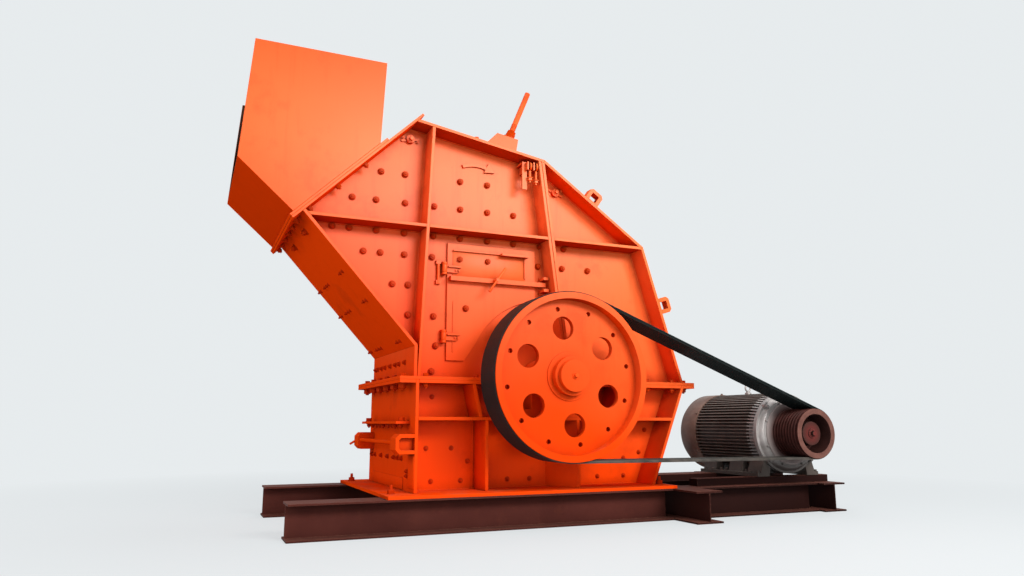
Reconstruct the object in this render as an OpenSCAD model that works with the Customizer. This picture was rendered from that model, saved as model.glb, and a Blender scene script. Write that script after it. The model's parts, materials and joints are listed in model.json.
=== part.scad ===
// Horizontal-shaft impact crusher with a feed chute, belt drive and electric motor on a beam skid.
// X runs from the feed side to the motor, Y from the drive side to the back, Z up from the floor.

/* [Skid] */
// Height and width of the H-beams
beam_size = 200; // [150:1:250]
// Thickness of the beam flanges
beam_flange = 12; // [8:0.5:16]
// Thickness of the beam webs
beam_web = 8; // [6:0.5:12]
// Distance between the middles of the two long beams
skid_gauge = 1200; // [1150:1:1300]
// Reach of the long beams from the rotor axis to their free ends
skid_reach = 1624; // [1400:1:1900]
// Distance from the rotor axis to the middle of the near cross-beam
cross_x = 936; // [920:1:1000]
// Distance between the middles of the two cross-beams
motor_bay = 1260; // [1150:1:1400]
// Length of cross-beam that stands out past the long beams
stub_len = 250; // [100:1:350]
// Length of the end cross-beam past the long beams
end_stub_len = 57; // [20:1:100]

/* [Base and lower housing] */
// Thickness of the base plate
base_t = 20; // [12:1:30]
// Length of base plate past the feed wall
base_feed_lip = 182; // [140:1:300]
// Length of base plate past the back wall
base_back_lip = 95; // [60:1:110]
// Clear width between the side walls
chamber_w = 720; // [680:1:760]
// Thickness of the housing plates
wall_t = 20; // [14:1:24]
// Distance from the rotor axis to the outside of the feed-side wall
feed_wall_reach = 899; // [860:1:940]
// Distance from the rotor axis to the back wall at the base
back_foot_reach = 775; // [740:1:800]
// Distance from the rotor axis to the back wall at the split
back_top_reach = 1045; // [1010:1:1060]
// Depth of the lower ribs in front of the side walls
lower_rib_d = 200; // [180:1:210]
// Thickness of ribs and gussets
rib_t = 20; // [14:1:24]
// Height of the split between lower and upper housing
split_z = 885; // [860:1:900]
// Thickness of each split flange
split_flange_t = 20; // [14:1:26]
// Width of the split flanges past the feed and back walls
split_flange_w = 100; // [70:1:120]
// Height of the shelf that carries the bearings
shelf_z = 663; // [640:1:680]
// Distance from the rotor axis to the upright rib on the feed side
feed_rib_x = 440; // [380:1:480]
// Distance from the rotor axis to the upright rib on the motor side
back_rib_x = 198; // [180:1:240]
// Width of the pedestal on the motor side where it meets the wall
pedestal_w = 155; // [120:1:170]
// Length of base opening given up to a lip at each end
base_lip = 12; // [6:1:20]

/* [Upper housing] */
// Depth of the upper ribs in front of the side walls
upper_rib_d = 150; // [120:1:170]
// Height where the feed wall turns into the throat floor
throat_z = 1092; // [1060:1:1130]
// Distance from the rotor axis to the lower lip of the feed mouth
mouth_reach = 1601; // [1560:1:1640]
// Height of the lower lip of the feed mouth, and of the level ribs
mouth_z = 1868; // [1840:1:1900]
// Distance from the rotor axis to the apex
apex_reach = 899; // [870:1:930]
// Height of the apex
apex_z = 2558; // [2520:1:2600]
// Distance from the rotor axis to the end of the roof, towards the feed
crest_reach = 4; // [0:1:40]
// Height of the end of the roof
crest_z = 2410; // [2370:1:2440]
// Distance from the rotor axis to the shoulder of the back slopes
shoulder_reach = 772; // [740:1:800]
// Distance from the rotor axis to the foot of the back slope
tail_reach = 1080; // [1065:1:1095]
// Foot of the feed-side upright rib, from the rotor axis
upright_foot = 878; // [860:1:878]
// Top of the feed-side upright rib, from the rotor axis
upright_top = 798; // [770:1:820]
// Top of the split upright, from the rotor axis towards the feed
split_top = 31; // [10:1:60]
// Foot of the split upright, from the rotor axis towards the motor
split_foot = 166; // [150:1:200]
// Thickness of the two bolted plates of the split upright
split_upright_t = 44; // [36:1:50]
// Gap between these two plates
split_gap = 3; // [2:0.5:6]

/* [Feed mouth and chute] */
// Thickness of each feed flange
mouth_flange_t = 16; // [12:1:22]
// Length of feed flange below the mouth
mouth_flange_low = 75; // [50:1:90]
// Length of feed flange above the mouth
mouth_flange_high = 45; // [20:1:60]
// Thickness of the chute plates
chute_t = 10; // [6:1:14]
// Length of chute past the lower lip of the mouth
chute_out = 384; // [300:1:450]
// Length of the chute's rim
chute_len = 805; // [700:1:860]
// Lean of the chute's open end, from its floor up to its rim
chute_lean = 57; // [30:1:80]
// Lean of the chute's back wall
chute_back_lean = 26; // [10:1:40]
// Height of the chute's rim above the apex
chute_rise = 342; // [240:1:440]
// Height of the chute's floor at its open end, above the mouth's lip
chute_knee_rise = 282; // [250:1:310]

/* [Rotor and drive] */
// Height of the rotor axis
shaft_z = 910; // [895:1:915]
// Diameter of the rotor shaft in its bearings
journal_d = 140; // [120:1:150]
// Diameter of the rotor shaft between the bearings
shaft_d = 160; // [155:1:170]
// Diameter of the rotor body
rotor_d = 660; // [600:1:700]
// Diameter over the blow bars
blow_d = 850; // [820:1:880]
// Thickness of a blow bar
blow_t = 60; // [45:1:70]
// Clearance beside the rotor, on each side
rotor_gap = 10; // [8:1:20]
// Outside diameter of the drive pulley
pulley_d = 1034; // [1000:1:1040]
// Width of both pulleys
pulley_w = 235; // [220:1:240]
// Distance from the middle of the machine to the front of the pulleys
pulley_front = 905; // [895:1:920]
// Depth of the pulley rim
rim_t = 40; // [36:1:50]
// Thickness of the pulley web
web_t = 40; // [30:1:50]
// Depth of the web behind the front of the rim
web_recess = 70; // [50:1:90]
// Diameter of the six holes in the web
web_hole_d = 145; // [120:1:160]
// Diameter of the circle of the six holes
web_hole_pcd = 600; // [580:1:620]
// Diameter of the pulley hub
hub_d = 240; // [220:1:260]
// Number of belt grooves
groove_count = 8; // [6:1:8]
// Depth of a belt groove
groove_d = 18; // [14:1:20]
// Thickness of the belts' backs
belt_back = 6; // [4:1:10]
// Running gap between belt and pulley in the model
belt_gap = 0.5; // [0.4:0.1:1]

/* [Motor] */
// Distance from the rotor axis to the motor axis
motor_x = 1909; // [1860:1:1950]
// Gap between the motor's fins and the slide rails below them
motor_clear = 10; // [0:1:20]
// Diameter of the motor pulley
motor_pulley_d = 344; // [320:1:360]
// Diameter of the motor over its fins
motor_d = 590; // [560:1:596]
// Depth of a cooling fin
fin_d = 24; // [16:1:30]
// Number of fin places round the frame
fin_count = 72; // [60:6:84]
// Length of the finned frame
motor_frame_l = 596; // [540:1:620]
// Length of the drive-end bell
end_bell_l = 129; // [120:1:140]
// Length of the fan cowl
cowl_l = 228; // [190:1:250]
// Diameter of the motor shaft
motor_shaft_d = 80; // [70:1:90]
// Height of the slide rails
rail_h = 50; // [40:1:70]
// Width of a slide rail
rail_w = 90; // [70:1:110]
// Distance between the slide rails
rail_gauge = 457; // [400:1:470]

/* [Inspection door] */
// Distance from the rotor axis to the door's hinged edge
door_hinged_edge = 653; // [640:1:660]
// Distance from the rotor axis to the door's free edge
door_free_edge = 24; // [20:1:40]
// Height of the door's lower edge
door_low_z = 1021; // [1000:1:1040]
// Height of the door's upper edge
door_top_z = 1790; // [1760:1:1810]
// Radius of the arc that the door is cut to, round a point near the rotor axis
door_arc_r = 515; // [512:1:530]
// Distance from the rotor axis to the end of the door's lower edge
door_foot_reach = 531; // [515:1:550]
// Thickness of the door
door_t = 16; // [10:1:20]
// Gap behind the closed door
door_gap = 2; // [1:0.5:3]
// Width of door that overlaps the wall
door_lap = 26; // [20:1:30]
// Diameter of the hinge pins
pin_d = 16; // [12:1:20]

/* [Hidden] */
$fn = 96;

paint = "orangered";
skid_paint = "#4a2420";
fit = 0.08;
eps = 1;

// Levels and half widths that several pieces share
beam_top = beam_size;
base_top = beam_top + base_t;
skid_half = skid_gauge / 2 + beam_size / 2;
wall_in = chamber_w / 2;
wall_out = wall_in + wall_t;
lower_half = wall_out + lower_rib_d;
upper_half = wall_out + upper_rib_d;
upper_flange_z = split_z + split_flange_t;
lower_flange_z = split_z - split_flange_t;
end_x = cross_x + motor_bay;
base_feed_reach = feed_wall_reach + base_feed_lip;
base_back_reach = back_foot_reach + base_back_lip;
chute_reach = mouth_reach + chute_out;
chute_back_reach = chute_reach - chute_lean - chute_len;
chute_foot_reach = chute_back_reach + chute_back_lean;
chute_top_z = apex_z + chute_rise;
chute_knee_z = mouth_z + chute_knee_rise;
motor_axis_h = motor_d / 2 + motor_clear;
motor_z = beam_top + rail_h + motor_axis_h;
pulley_back = pulley_front - pulley_w;
shaft_hole_r = shaft_d / 2 + 20;
bearing_half = 230;
flange_break = bearing_half + 40;

// The part's origin lies below the middle of its box
origin_x = (end_x + beam_size / 2 - chute_reach) / 2;

// Moves everything from the rotor axis to the part's own frame
module in_frame() {
    translate([-origin_x, 0, 0]) children();
}

// Extrudes an outline in X and Z from one Y to another
module along_y(y0, y1) {
    translate([0, y1, 0]) rotate([90, 0, 0]) linear_extrude(y1 - y0) children();
}

// Makes a front piece and its mirror image at the back
module front_and_rear() {
    children();
    mirror([0, 1, 0]) children();
}

// Corner of an outline after each edge has moved inwards by its own thickness
function unit(v) = v / norm(v);
function left_of(v) = [-v[1], v[0]];
function cross2(a, b) = a[0] * b[1] - a[1] * b[0];
function inner_corner(p, t, i) =
    let (n = len(p), h = (i + n - 1) % n, j = (i + 1) % n,
         u = unit(p[i] - p[h]), v = unit(p[j] - p[i]),
         a = p[i] + left_of(u) * t[h], b = p[i] + left_of(v) * t[i],
         s = cross2(b - a, v) / cross2(u, v))
    a + u * s;
function inner_outline(p, t) = [for (i = [0:len(p) - 1]) inner_corner(p, t, i)];

// Point beside edge i of an outline: so far along the edge, and so far out of it
function edge_vector(p, i) = p[(i + 1) % len(p)] - p[i];
function on_edge(p, i, along, out) =
    let (d = unit(edge_vector(p, i))) p[i] + d * along - left_of(d) * out;
function edge_strip(p, i, from, to, low, high) = [
    on_edge(p, i, from, low), on_edge(p, i, to, low), on_edge(p, i, to, high), on_edge(p, i, from, high)
];

// One plate of a folded outline, between edge i and its inner copy
module edge_plate(p, t, i) {
    q = inner_outline(p, t);
    j = (i + 1) % len(p);
    polygon([p[i], p[j], q[j], q[i]]);
}

// Outlines in X and Z
lower_outline = [
    [-feed_wall_reach, base_top], [back_foot_reach, base_top],
    [back_top_reach, split_z], [-feed_wall_reach, split_z]
];
lower_plates = [0, wall_t, 0, wall_t];
lower_inner = inner_outline(lower_outline, lower_plates);

mouth_low = [-mouth_reach, mouth_z];
apex = [-apex_reach, apex_z];
upper_outline = [
    [-feed_wall_reach, split_z], [tail_reach, split_z], [shoulder_reach, mouth_z],
    [-crest_reach, crest_z], apex, mouth_low, [-feed_wall_reach, throat_z]
];
upper_plates = [0, wall_t, wall_t, wall_t, 0, wall_t, wall_t];
lower_slope_edge = 1;
upper_slope_edge = 2;
roof_edge = 3;
mouth_edge = 4;
floor_edge = 5;
feed_edge = 6;
upper_inner = inner_outline(upper_outline, upper_plates);

// The feed mouth's line, up from its lower lip, and the direction out of the housing
mouth_dir = unit(apex - mouth_low);
mouth_out = left_of(mouth_dir);
seat = 0.1;
flange_stack = 2 * mouth_flange_t + 3 * seat;

// Where the stacked flanges' outer face meets an upright line
function flange_face_z(x) =
    let (p = mouth_low + mouth_out * flange_stack)
    p[1] + (x - p[0]) * mouth_dir[1] / mouth_dir[0];
chute_low_x = -mouth_reach - mouth_flange_low * mouth_dir[0] + flange_stack * mouth_out[0] + 20;
chute_outline = [
    [-chute_reach, chute_knee_z], [chute_low_x, flange_face_z(chute_low_x)],
    [-chute_foot_reach, flange_face_z(-chute_foot_reach)],
    [-chute_back_reach, chute_top_z], [-chute_reach + chute_lean, chute_top_z]
];
chute_plates = [chute_t, 0, chute_t, 0, 0];

// Door opening, smaller than the door by its lap
opening_hinged = -door_hinged_edge + door_lap;
opening_free = -door_free_edge - door_lap;
opening_top = door_top_z - door_lap;
door_arc_mid = [20, shaft_z + 15];
door_slant_h = 120;

// Skid
module h_section() {
    translate([-beam_size / 2, 0]) square([beam_size, beam_flange]);
    translate([-beam_size / 2, beam_size - beam_flange]) square([beam_size, beam_flange]);
    translate([-beam_web / 2, 0]) square([beam_web, beam_size]);
}

module beam_along_x(x0, x1, y) {
    color(skid_paint) in_frame() translate([x0, y, 0]) rotate([90, 0, 90])
        linear_extrude(x1 - x0) h_section();
}

module beam_along_y(x, stub) {
    color(skid_paint) in_frame() translate([x, 0, 0])
        along_y(-skid_half - stub, skid_half + stub) h_section();
}

module front_skid_beam() {
    beam_along_x(-skid_reach, cross_x - beam_size / 2, -skid_gauge / 2);
}

module rear_skid_beam() {
    beam_along_x(-skid_reach, cross_x - beam_size / 2, skid_gauge / 2);
}

module mid_cross_beam() {
    beam_along_y(cross_x, stub_len);
}

module end_cross_beam() {
    beam_along_y(end_x, end_stub_len);
}

module motor_beams() {
    for (side = [-1, 1])
        beam_along_x(cross_x + beam_size / 2, end_x - beam_size / 2, side * skid_gauge / 2);
}

// Motor on two slide rails, its axis along Y and its pulley in line with the drive pulley
motor_pulley_gap = 15;
motor_front = pulley_back - motor_pulley_gap;
frame_front = motor_front - end_bell_l;
frame_back = frame_front - motor_frame_l;
motor_body_r = motor_d / 2 - fin_d;
rail_y = -skid_gauge / 2 + 40;
foot_pad_h = 24;
foot_y = [rail_y, rail_y + rail_gauge];
foot_inset = 65;
foot_span = motor_d - 2 * foot_inset;
rail_x0 = [cross_x + beam_size / 2 + 65, cross_x - beam_size / 4];
rail_x1 = end_x + beam_size / 2 - 6;

// Two rails with slots for the holding bolts; the front one lies on the long beam
module motor_rails() {
    slot_l = 280;
    slot_w = 22;
    color(skid_paint) in_frame()
        for (i = [0, 1])
            difference() {
                translate([rail_x0[i], foot_y[i] - rail_w / 2, beam_top])
                    cube([rail_x1 - rail_x0[i], rail_w, rail_h]);
                for (side = [-1, 1])
                    translate([motor_x + side * foot_span / 2, foot_y[i], beam_top - eps])
                        translate([-slot_l / 2, -slot_w / 2, 0])
                            cube([slot_l, slot_w, rail_h + 2 * eps]);
            }
}

module motor_frame() {
    fin_w = 8;
    color("dimgray") in_frame() translate([motor_x, 0, motor_z])
        along_y(-frame_front, -frame_back) {
            circle(r = motor_body_r);
            for (i = [0:fin_count - 1])
                rotate(i * 360 / fin_count)
                    translate([0, -fin_w / 2]) square([motor_d / 2, fin_w]);
        }
}

// A long foot on each side, with three cast legs up to the frame
module motor_feet() {
    pad_w = 110;
    leg_w = 145;
    leg_y = [-34, -328, -540];
    leg_foot = [-50, 30];
    leg_top = [-100, -40];
    leg_h = motor_axis_h - 90;
    color("dimgray") in_frame()
        for (side = [-1, 1])
            translate([motor_x + side * foot_span / 2, 0, beam_top + rail_h])
                difference() {
                    union() {
                        translate([-pad_w / 2, leg_y[2] - leg_w / 2, 0])
                            cube([pad_w, leg_y[0] - leg_y[2] + leg_w, foot_pad_h]);
                        for (y = leg_y)
                            along_y(y - leg_w / 2, y + leg_w / 2)
                                polygon([
                                    [side * leg_foot[0], 0], [side * leg_foot[1], 0],
                                    [side * leg_top[1], leg_h], [side * leg_top[0], leg_h]
                                ]);
                    }
                    translate([-side * foot_span / 2, 0, motor_axis_h]) rotate([90, 0, 0])
                        cylinder(r = motor_d / 2 + 0.3, h = 4 * motor_d, center = true);
                }
}

// End bell: the seat of the fins' tips, a raised lip, then the bearing end
module motor_end_bell() {
    tip_seat = 62;
    lip_l = 37;
    lip_r = motor_d / 2 - 7;
    band_r = motor_d / 2 - 23;
    color("silver") in_frame() translate([motor_x, -frame_front, motor_z]) rotate([90, 0, 0])
        rotate_extrude()
            polygon([
                [motor_shaft_d / 2 + 0.3, 0], [motor_body_r, 0], [motor_body_r, tip_seat],
                [lip_r, tip_seat], [lip_r, tip_seat + lip_l], [band_r, tip_seat + lip_l],
                [band_r - 14, end_bell_l - 8], [band_r - 24, end_bell_l],
                [motor_shaft_d / 2 + 0.3, end_bell_l]
            ]);
}

// Dished cover on the bell's face, round the shaft and just clear of the pulley
module motor_bearing_cover() {
    cover_r = motor_d / 2 - 70;
    cover_t = 9;
    rim_t = 4;
    shaft_clear = 6;
    color("#5a302a") in_frame() translate([motor_x, -motor_front, motor_z]) rotate([90, 0, 0])
        rotate_extrude()
            polygon([
                [motor_shaft_d / 2 + shaft_clear, 0], [cover_r, 0], [cover_r, rim_t],
                [cover_r - cover_t, cover_t], [motor_shaft_d / 2 + shaft_clear, cover_t]
            ]);
}

module motor_fan_cowl() {
    color("rosybrown") in_frame() translate([motor_x, -frame_back, motor_z]) rotate([-90, 0, 0])
        rotate_extrude()
            polygon([
                [0, 0], [motor_d / 2 + 4, 0], [motor_d / 2 + 4, cowl_l - 45],
                [motor_d / 2 - 12, cowl_l - 15], [motor_d / 2 - 50, cowl_l], [0, cowl_l]
            ]);
}

module motor_terminal_box() {
    box_l = 230;
    box_h = 200;
    box_d = 78;
    color("dimgray") in_frame()
        difference() {
            translate([motor_x + motor_d / 2 - 40, -frame_front + 60, motor_z - box_h / 2 + 40])
                cube([box_d + 40, box_l, box_h]);
            translate([motor_x, 0, motor_z]) rotate([90, 0, 0])
                cylinder(r = motor_d / 2 + 0.3, h = 4 * motor_d, center = true);
        }
}

module motor_shaft() {
    shaft_front = pulley_front - motor_hub_in + shaft_proud;
    color("silver") in_frame() translate([motor_x, -shaft_front, motor_z]) rotate([-90, 0, 0])
        cylinder(d = motor_shaft_d, h = shaft_front - frame_front - eps);
}

// Pulleys and belts
groove_pitch = (pulley_w - 20) / groove_count;
groove_top = groove_pitch - 6;
groove_bottom = groove_top - 12;
hub_r_small = motor_shaft_d / 2 + 30;
motor_hub_in = 116;
shaft_proud = 4;
bore_front = 60;
pulley_seat_d = journal_d - 20;

// V-grooves to cut from a rim of radius r, as an outline in radius and length
module groove_outline(r) {
    for (i = [0:groove_count - 1])
        translate([r, 10 + groove_pitch * (i + 0.5)])
            polygon([
                [eps, -groove_top / 2], [eps, groove_top / 2],
                [-groove_d, groove_bottom / 2], [-groove_d, -groove_bottom / 2]
            ]);
}

// Half section of the drive pulley, its front at zero
module drive_pulley_section() {
    rim_in = pulley_d / 2 - rim_t;
    hub_front = 17;
    pad_w = 30;
    pad_t = 8;
    cap_d = 196;
    cap_out = 16;
    difference() {
        union() {
            translate([rim_in, 0]) square([rim_t, pulley_w]);
            translate([hub_d / 2 - eps, web_recess]) square([rim_in - hub_d / 2 + 2 * eps, web_t]);
            translate([0, hub_front]) square([hub_d / 2, pulley_w - hub_front]);
            translate([hub_d / 2 - eps, web_recess - pad_t]) square([pad_w + eps, pad_t + eps]);
            translate([0, -cap_out]) square([cap_d / 2, cap_out + hub_front + eps]);
        }
        groove_outline(pulley_d / 2);
        translate([-eps, bore_front]) square([pulley_seat_d / 2 + fit + eps, pulley_w]);
    }
}

module drive_pulley() {
    bolt_pcd = 840;
    bolt_hole_d = 30;
    hole_turn = 23;
    bolt_turn = 20;
    color(paint) in_frame() translate([0, -pulley_front, shaft_z]) rotate([-90, 0, 0])
        difference() {
            rotate_extrude() drive_pulley_section();
            for (i = [0:5])
                rotate(i * 60 + hole_turn) translate([web_hole_pcd / 2, 0, 0])
                    cylinder(d = web_hole_d, h = pulley_w);
            for (i = [0:11])
                rotate(i * 30 + bolt_turn) translate([bolt_pcd / 2, 0, 0])
                    cylinder(d = bolt_hole_d, h = pulley_w);
        }
}

module motor_pulley() {
    rim = 38;
    recess = 156;
    color("#5a302a") in_frame() translate([motor_x, -pulley_front, motor_z]) rotate([-90, 0, 0])
        rotate_extrude()
            difference() {
                square([motor_pulley_d / 2, pulley_w]);
                translate([0, -eps]) square([motor_pulley_d / 2 - rim, motor_hub_in + eps]);
                translate([hub_r_small, 0]) square([motor_pulley_d / 2 - rim - hub_r_small, recess]);
                translate([-eps, motor_hub_in - eps]) square([motor_shaft_d / 2 + fit + eps, pulley_w]);
                groove_outline(motor_pulley_d / 2);
            }
}

// Outline of a belt stretched round both pulleys, at a distance from their rims
belt_edge = 10;

module belt_loop(off) {
    hull() {
        circle(r = pulley_d / 2 + off, $fn = 144);
        translate([motor_x, motor_z - shaft_z]) circle(r = motor_pulley_d / 2 + off, $fn = 144);
    }
}

module drive_belts() {
    color("#181818") in_frame() translate([0, 0, shaft_z])
        along_y(-pulley_front + belt_edge, -pulley_back - belt_edge)
            difference() {
                belt_loop(belt_gap + belt_back);
                belt_loop(belt_gap);
            }
}

// Rotor
rotor_half = wall_in - rotor_gap;
bearing_y = wall_out + 105;
bearing_w = 170;
journal_from = bearing_y - bearing_w / 2 - 6;
shaft_end_gap = 4;

module rotor_shaft() {
    shaft_front = pulley_front - bore_front - shaft_end_gap;
    step_y = pulley_back - shaft_end_gap;
    shaft_rear = bearing_y + bearing_w / 2 + 40;
    color("silver") in_frame() translate([0, 0, shaft_z]) rotate([90, 0, 0]) {
        translate([0, 0, -journal_from]) cylinder(d = shaft_d, h = 2 * journal_from);
        translate([0, 0, -shaft_rear]) cylinder(d = journal_d, h = shaft_rear + step_y);
        translate([0, 0, step_y - eps]) cylinder(d = pulley_seat_d, h = shaft_front - step_y + eps);
    }
}

// Four blow bars, each standing on a seat cut into the rotor body
bar_seat_d = 110;
bar_root = rotor_d / 2 - bar_seat_d;
bar_turn = 20;

module blow_bar_outlines() {
    for (i = [0:3])
        rotate(i * 90 + bar_turn) translate([-blow_t / 2, bar_root])
            square([blow_t, blow_d / 2 - bar_root]);
}

module rotor_drum() {
    color("dimgray") in_frame() translate([0, 0, shaft_z])
        along_y(-rotor_half, rotor_half)
            difference() {
                circle(d = rotor_d);
                circle(d = shaft_d + 2 * fit);
                blow_bar_outlines();
            }
}

module blow_bars() {
    color("gray") in_frame() translate([0, 0, shaft_z])
        along_y(-rotor_half, rotor_half) blow_bar_outlines();
}

module bearings() {
    body_r = 132;
    sole_h = 50;
    color(paint) in_frame() front_and_rear()
        translate([0, -bearing_y, 0])
            difference() {
                union() {
                    translate([-bearing_half, -bearing_w / 2, shelf_z])
                        cube([2 * bearing_half, bearing_w, sole_h]);
                    translate([-body_r, -bearing_w / 2, shelf_z])
                        cube([2 * body_r, bearing_w, shaft_z - shelf_z]);
                    translate([0, 0, shaft_z]) rotate([90, 0, 0])
                        cylinder(r = body_r, h = bearing_w, center = true);
                }
                translate([0, 0, shaft_z]) rotate([90, 0, 0])
                    cylinder(r = journal_d / 2 + fit, h = bearing_w + 2 * eps, center = true);
            }
}

// Lower housing
module base_plate() {
    hole_x0 = lower_inner[0][0] + base_lip;
    hole_x1 = lower_inner[1][0] - base_lip;
    color(paint) in_frame()
        difference() {
            translate([-base_feed_reach, -skid_half, beam_top])
                cube([base_feed_reach + base_back_reach, 2 * skid_half, base_t]);
            translate([hole_x0, -wall_in + base_lip, beam_top - eps])
                cube([hole_x1 - hole_x0, chamber_w - 2 * base_lip, base_t + 2 * eps]);
        }
}

module shaft_hole() {
    translate([0, shaft_z]) circle(r = shaft_hole_r);
}

module lower_side_wall() {
    along_y(-wall_out, -wall_in)
        difference() {
            polygon(lower_inner);
            shaft_hole();
        }
}

module lower_front_wall() {
    color(paint) in_frame() lower_side_wall();
}

module lower_rear_wall() {
    color(paint) in_frame() mirror([0, 1, 0]) lower_side_wall();
}

module lower_feed_wall() {
    color(paint) in_frame() along_y(-lower_half, lower_half)
        edge_plate(lower_outline, lower_plates, 3);
}

module lower_back_wall() {
    color(paint) in_frame() along_y(-lower_half, lower_half)
        edge_plate(lower_outline, lower_plates, 1);
}

module shelf_space() {
    translate([-2 * base_feed_reach, shelf_z - rib_t]) square([4 * base_feed_reach, rib_t]);
}

module bearing_shelves() {
    color(paint) in_frame() front_and_rear()
        along_y(-lower_half, -wall_out)
            intersection() {
                polygon(lower_inner);
                shelf_space();
            }
}

module lower_ribs() {
    gusset_x = feed_rib_x + 30;
    gusset_lean = 45;
    rib_tall = shelf_z - rib_t - base_top;
    color(paint) in_frame() front_and_rear() {
        translate([0, 0, base_top]) linear_extrude(rib_tall)
            polygon([
                [back_rib_x + rib_t / 2 - pedestal_w, -wall_out], [back_rib_x - rib_t / 2, -lower_half],
                [back_rib_x + rib_t / 2, -lower_half], [back_rib_x + rib_t / 2, -wall_out]
            ]);
        along_y(-lower_half, -wall_out) {
            translate([-feed_rib_x - rib_t / 2, base_top]) square([rib_t, rib_tall]);
            for (side = [-1, 1])
                polygon([
                    [side * gusset_x, shelf_z], [side * (gusset_x + rib_t), shelf_z],
                    [side * (gusset_x + gusset_lean + rib_t), lower_flange_z],
                    [side * (gusset_x + gusset_lean), lower_flange_z]
                ]);
        }
    }
}

// Two brackets with a bar between them, and a ledge, across the outside of the feed wall
bracket_z = 446;
bracket_h = 116;
bracket_d = 116;
bracket_t = 22;
bracket_l = 128;
bracket_corner = 24;
bracket_recess = 40;

// Outline of a bracket that stands on the wall, with its two outer corners cut
function bracket_outline(d, h, c) = [[eps, 0], [c - d, 0], [-d, c], [-d, h - c], [c - d, h], [eps, h]];

module feed_wall_brackets() {
    bar_d = 26;
    bar_x = 92;
    bar_z = 64;
    half = lower_half - bracket_l + eps;
    color(paint) in_frame()
        difference() {
            translate([-feed_wall_reach, 0, bracket_z]) {
                along_y(-half, half) translate([-bar_x, bar_z]) circle(d = bar_d);
                front_and_rear()
                    difference() {
                        along_y(-lower_half, bracket_l - lower_half)
                            polygon(bracket_outline(bracket_d, bracket_h, bracket_corner));
                        along_y(-lower_half - eps, bracket_recess - lower_half) translate([0, bracket_t])
                            polygon(bracket_outline(
                                bracket_d - bracket_t,
                                bracket_h - 2 * bracket_t,
                                bracket_corner - bracket_t / 2
                            ));
                    }
            }
            translate([-feed_wall_reach, -lower_half - eps, base_top])
                cube([wall_t, 2 * lower_half + 2 * eps, split_z - base_top]);
        }
}

module feed_wall_ledge() {
    ledge_z = 622;
    ledge_w = 88;
    ledge_t = 16;
    ledge_half = lower_half - 112;
    color(paint) in_frame()
        translate([-feed_wall_reach - ledge_w, -ledge_half, ledge_z])
            cube([ledge_w, 2 * ledge_half, ledge_t]);
}

// Split flanges, broken where the bearings stand
module split_flange(z, outline, plates, half) {
    x0 = -feed_wall_reach - split_flange_w;
    x1 = tail_reach + split_flange_w / 2;
    color(paint) in_frame()
        difference() {
            translate([x0, -lower_half, z]) cube([x1 - x0, 2 * lower_half, split_flange_t]);
            along_y(-half, half)
                difference() {
                    polygon(outline);
                    polygon(inner_outline(outline, plates));
                }
            along_y(-wall_out, wall_out) polygon(outline);
            translate([-flange_break, -2 * lower_half, z - eps])
                cube([2 * flange_break, 4 * lower_half, split_flange_t + 2 * eps]);
        }
}

module lower_split_flange() {
    split_flange(lower_flange_z, lower_outline, lower_plates, lower_half);
}

module upper_split_flange() {
    split_flange(split_z, upper_outline, upper_plates, upper_half);
}

// Upper housing
// The door's outline, or the opening's with each edge moved in
module door_shape(inset) {
    hinged = -door_hinged_edge + inset;
    low = door_low_z + inset;
    arc_r = door_arc_r + inset;
    meet_z = low + door_slant_h;
    meet_x = door_arc_mid[0] - sqrt(pow(arc_r, 2) - pow(meet_z - door_arc_mid[1], 2));
    difference() {
        translate([hinged, low]) square([-door_free_edge - inset - hinged, door_top_z - inset - low]);
        translate(door_arc_mid) circle(r = arc_r);
        polygon([[-door_foot_reach - inset, low - eps], [meet_x, meet_z], [0, meet_z], [0, low - eps]]);
    }
}

module upper_side_outline() {
    difference() {
        polygon(upper_inner);
        shaft_hole();
    }
}

// The part of the front wall between two uprights and two levels
module front_wall_part(x0, x1, z0, z1) {
    color(paint) in_frame() along_y(-wall_out, -wall_in)
        difference() {
            intersection() {
                upper_side_outline();
                translate([x0, z0]) square([x1 - x0, z1 - z0]);
            }
            door_shape(door_lap);
        }
}

module front_wall_beside_door() {
    front_wall_part(-mouth_reach, opening_hinged, 0, apex_z);
}

module front_wall_over_door() {
    front_wall_part(opening_hinged, opening_free, opening_top, apex_z);
}

module front_wall_under_door() {
    front_wall_part(opening_hinged, opening_free, 0, opening_top);
}

module front_wall_back() {
    front_wall_part(opening_free, tail_reach, 0, apex_z);
}

module upper_rear_wall() {
    color(paint) in_frame() along_y(wall_in, wall_out) upper_side_outline();
}

module upper_plate(i) {
    color(paint) in_frame() along_y(-upper_half, upper_half) edge_plate(upper_outline, upper_plates, i);
}

module lower_back_slope() {
    upper_plate(lower_slope_edge);
}

module upper_back_slope() {
    upper_plate(upper_slope_edge);
}

module roof_plate() {
    upper_plate(roof_edge);
}

module throat_floor() {
    upper_plate(floor_edge);
}

module upper_feed_wall() {
    upper_plate(feed_edge);
}

// Upright strip of a rib, leaning from its foot to its top
module leaning_strip(foot_x, top_x, top_z, t) {
    beyond = 1.2;
    foot = [foot_x, split_z];
    top = foot + ([top_x, top_z] - foot) * beyond;
    side = [t / 2, 0];
    polygon([foot - side, foot + side, top + side, top - side]);
}

module feed_upright() {
    leaning_strip(-upright_foot + rib_t / 2, -upright_top, apex_z, rib_t);
}

module split_upright() {
    leaning_strip(split_foot, -split_top, crest_z, split_upright_t);
}

module split_upright_gap() {
    leaning_strip(split_foot, -split_top, crest_z, split_gap);
}

module above_flange() {
    intersection() {
        polygon(upper_inner);
        translate([-2 * mouth_reach, upper_flange_z]) square([4 * mouth_reach, apex_z]);
    }
}

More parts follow.
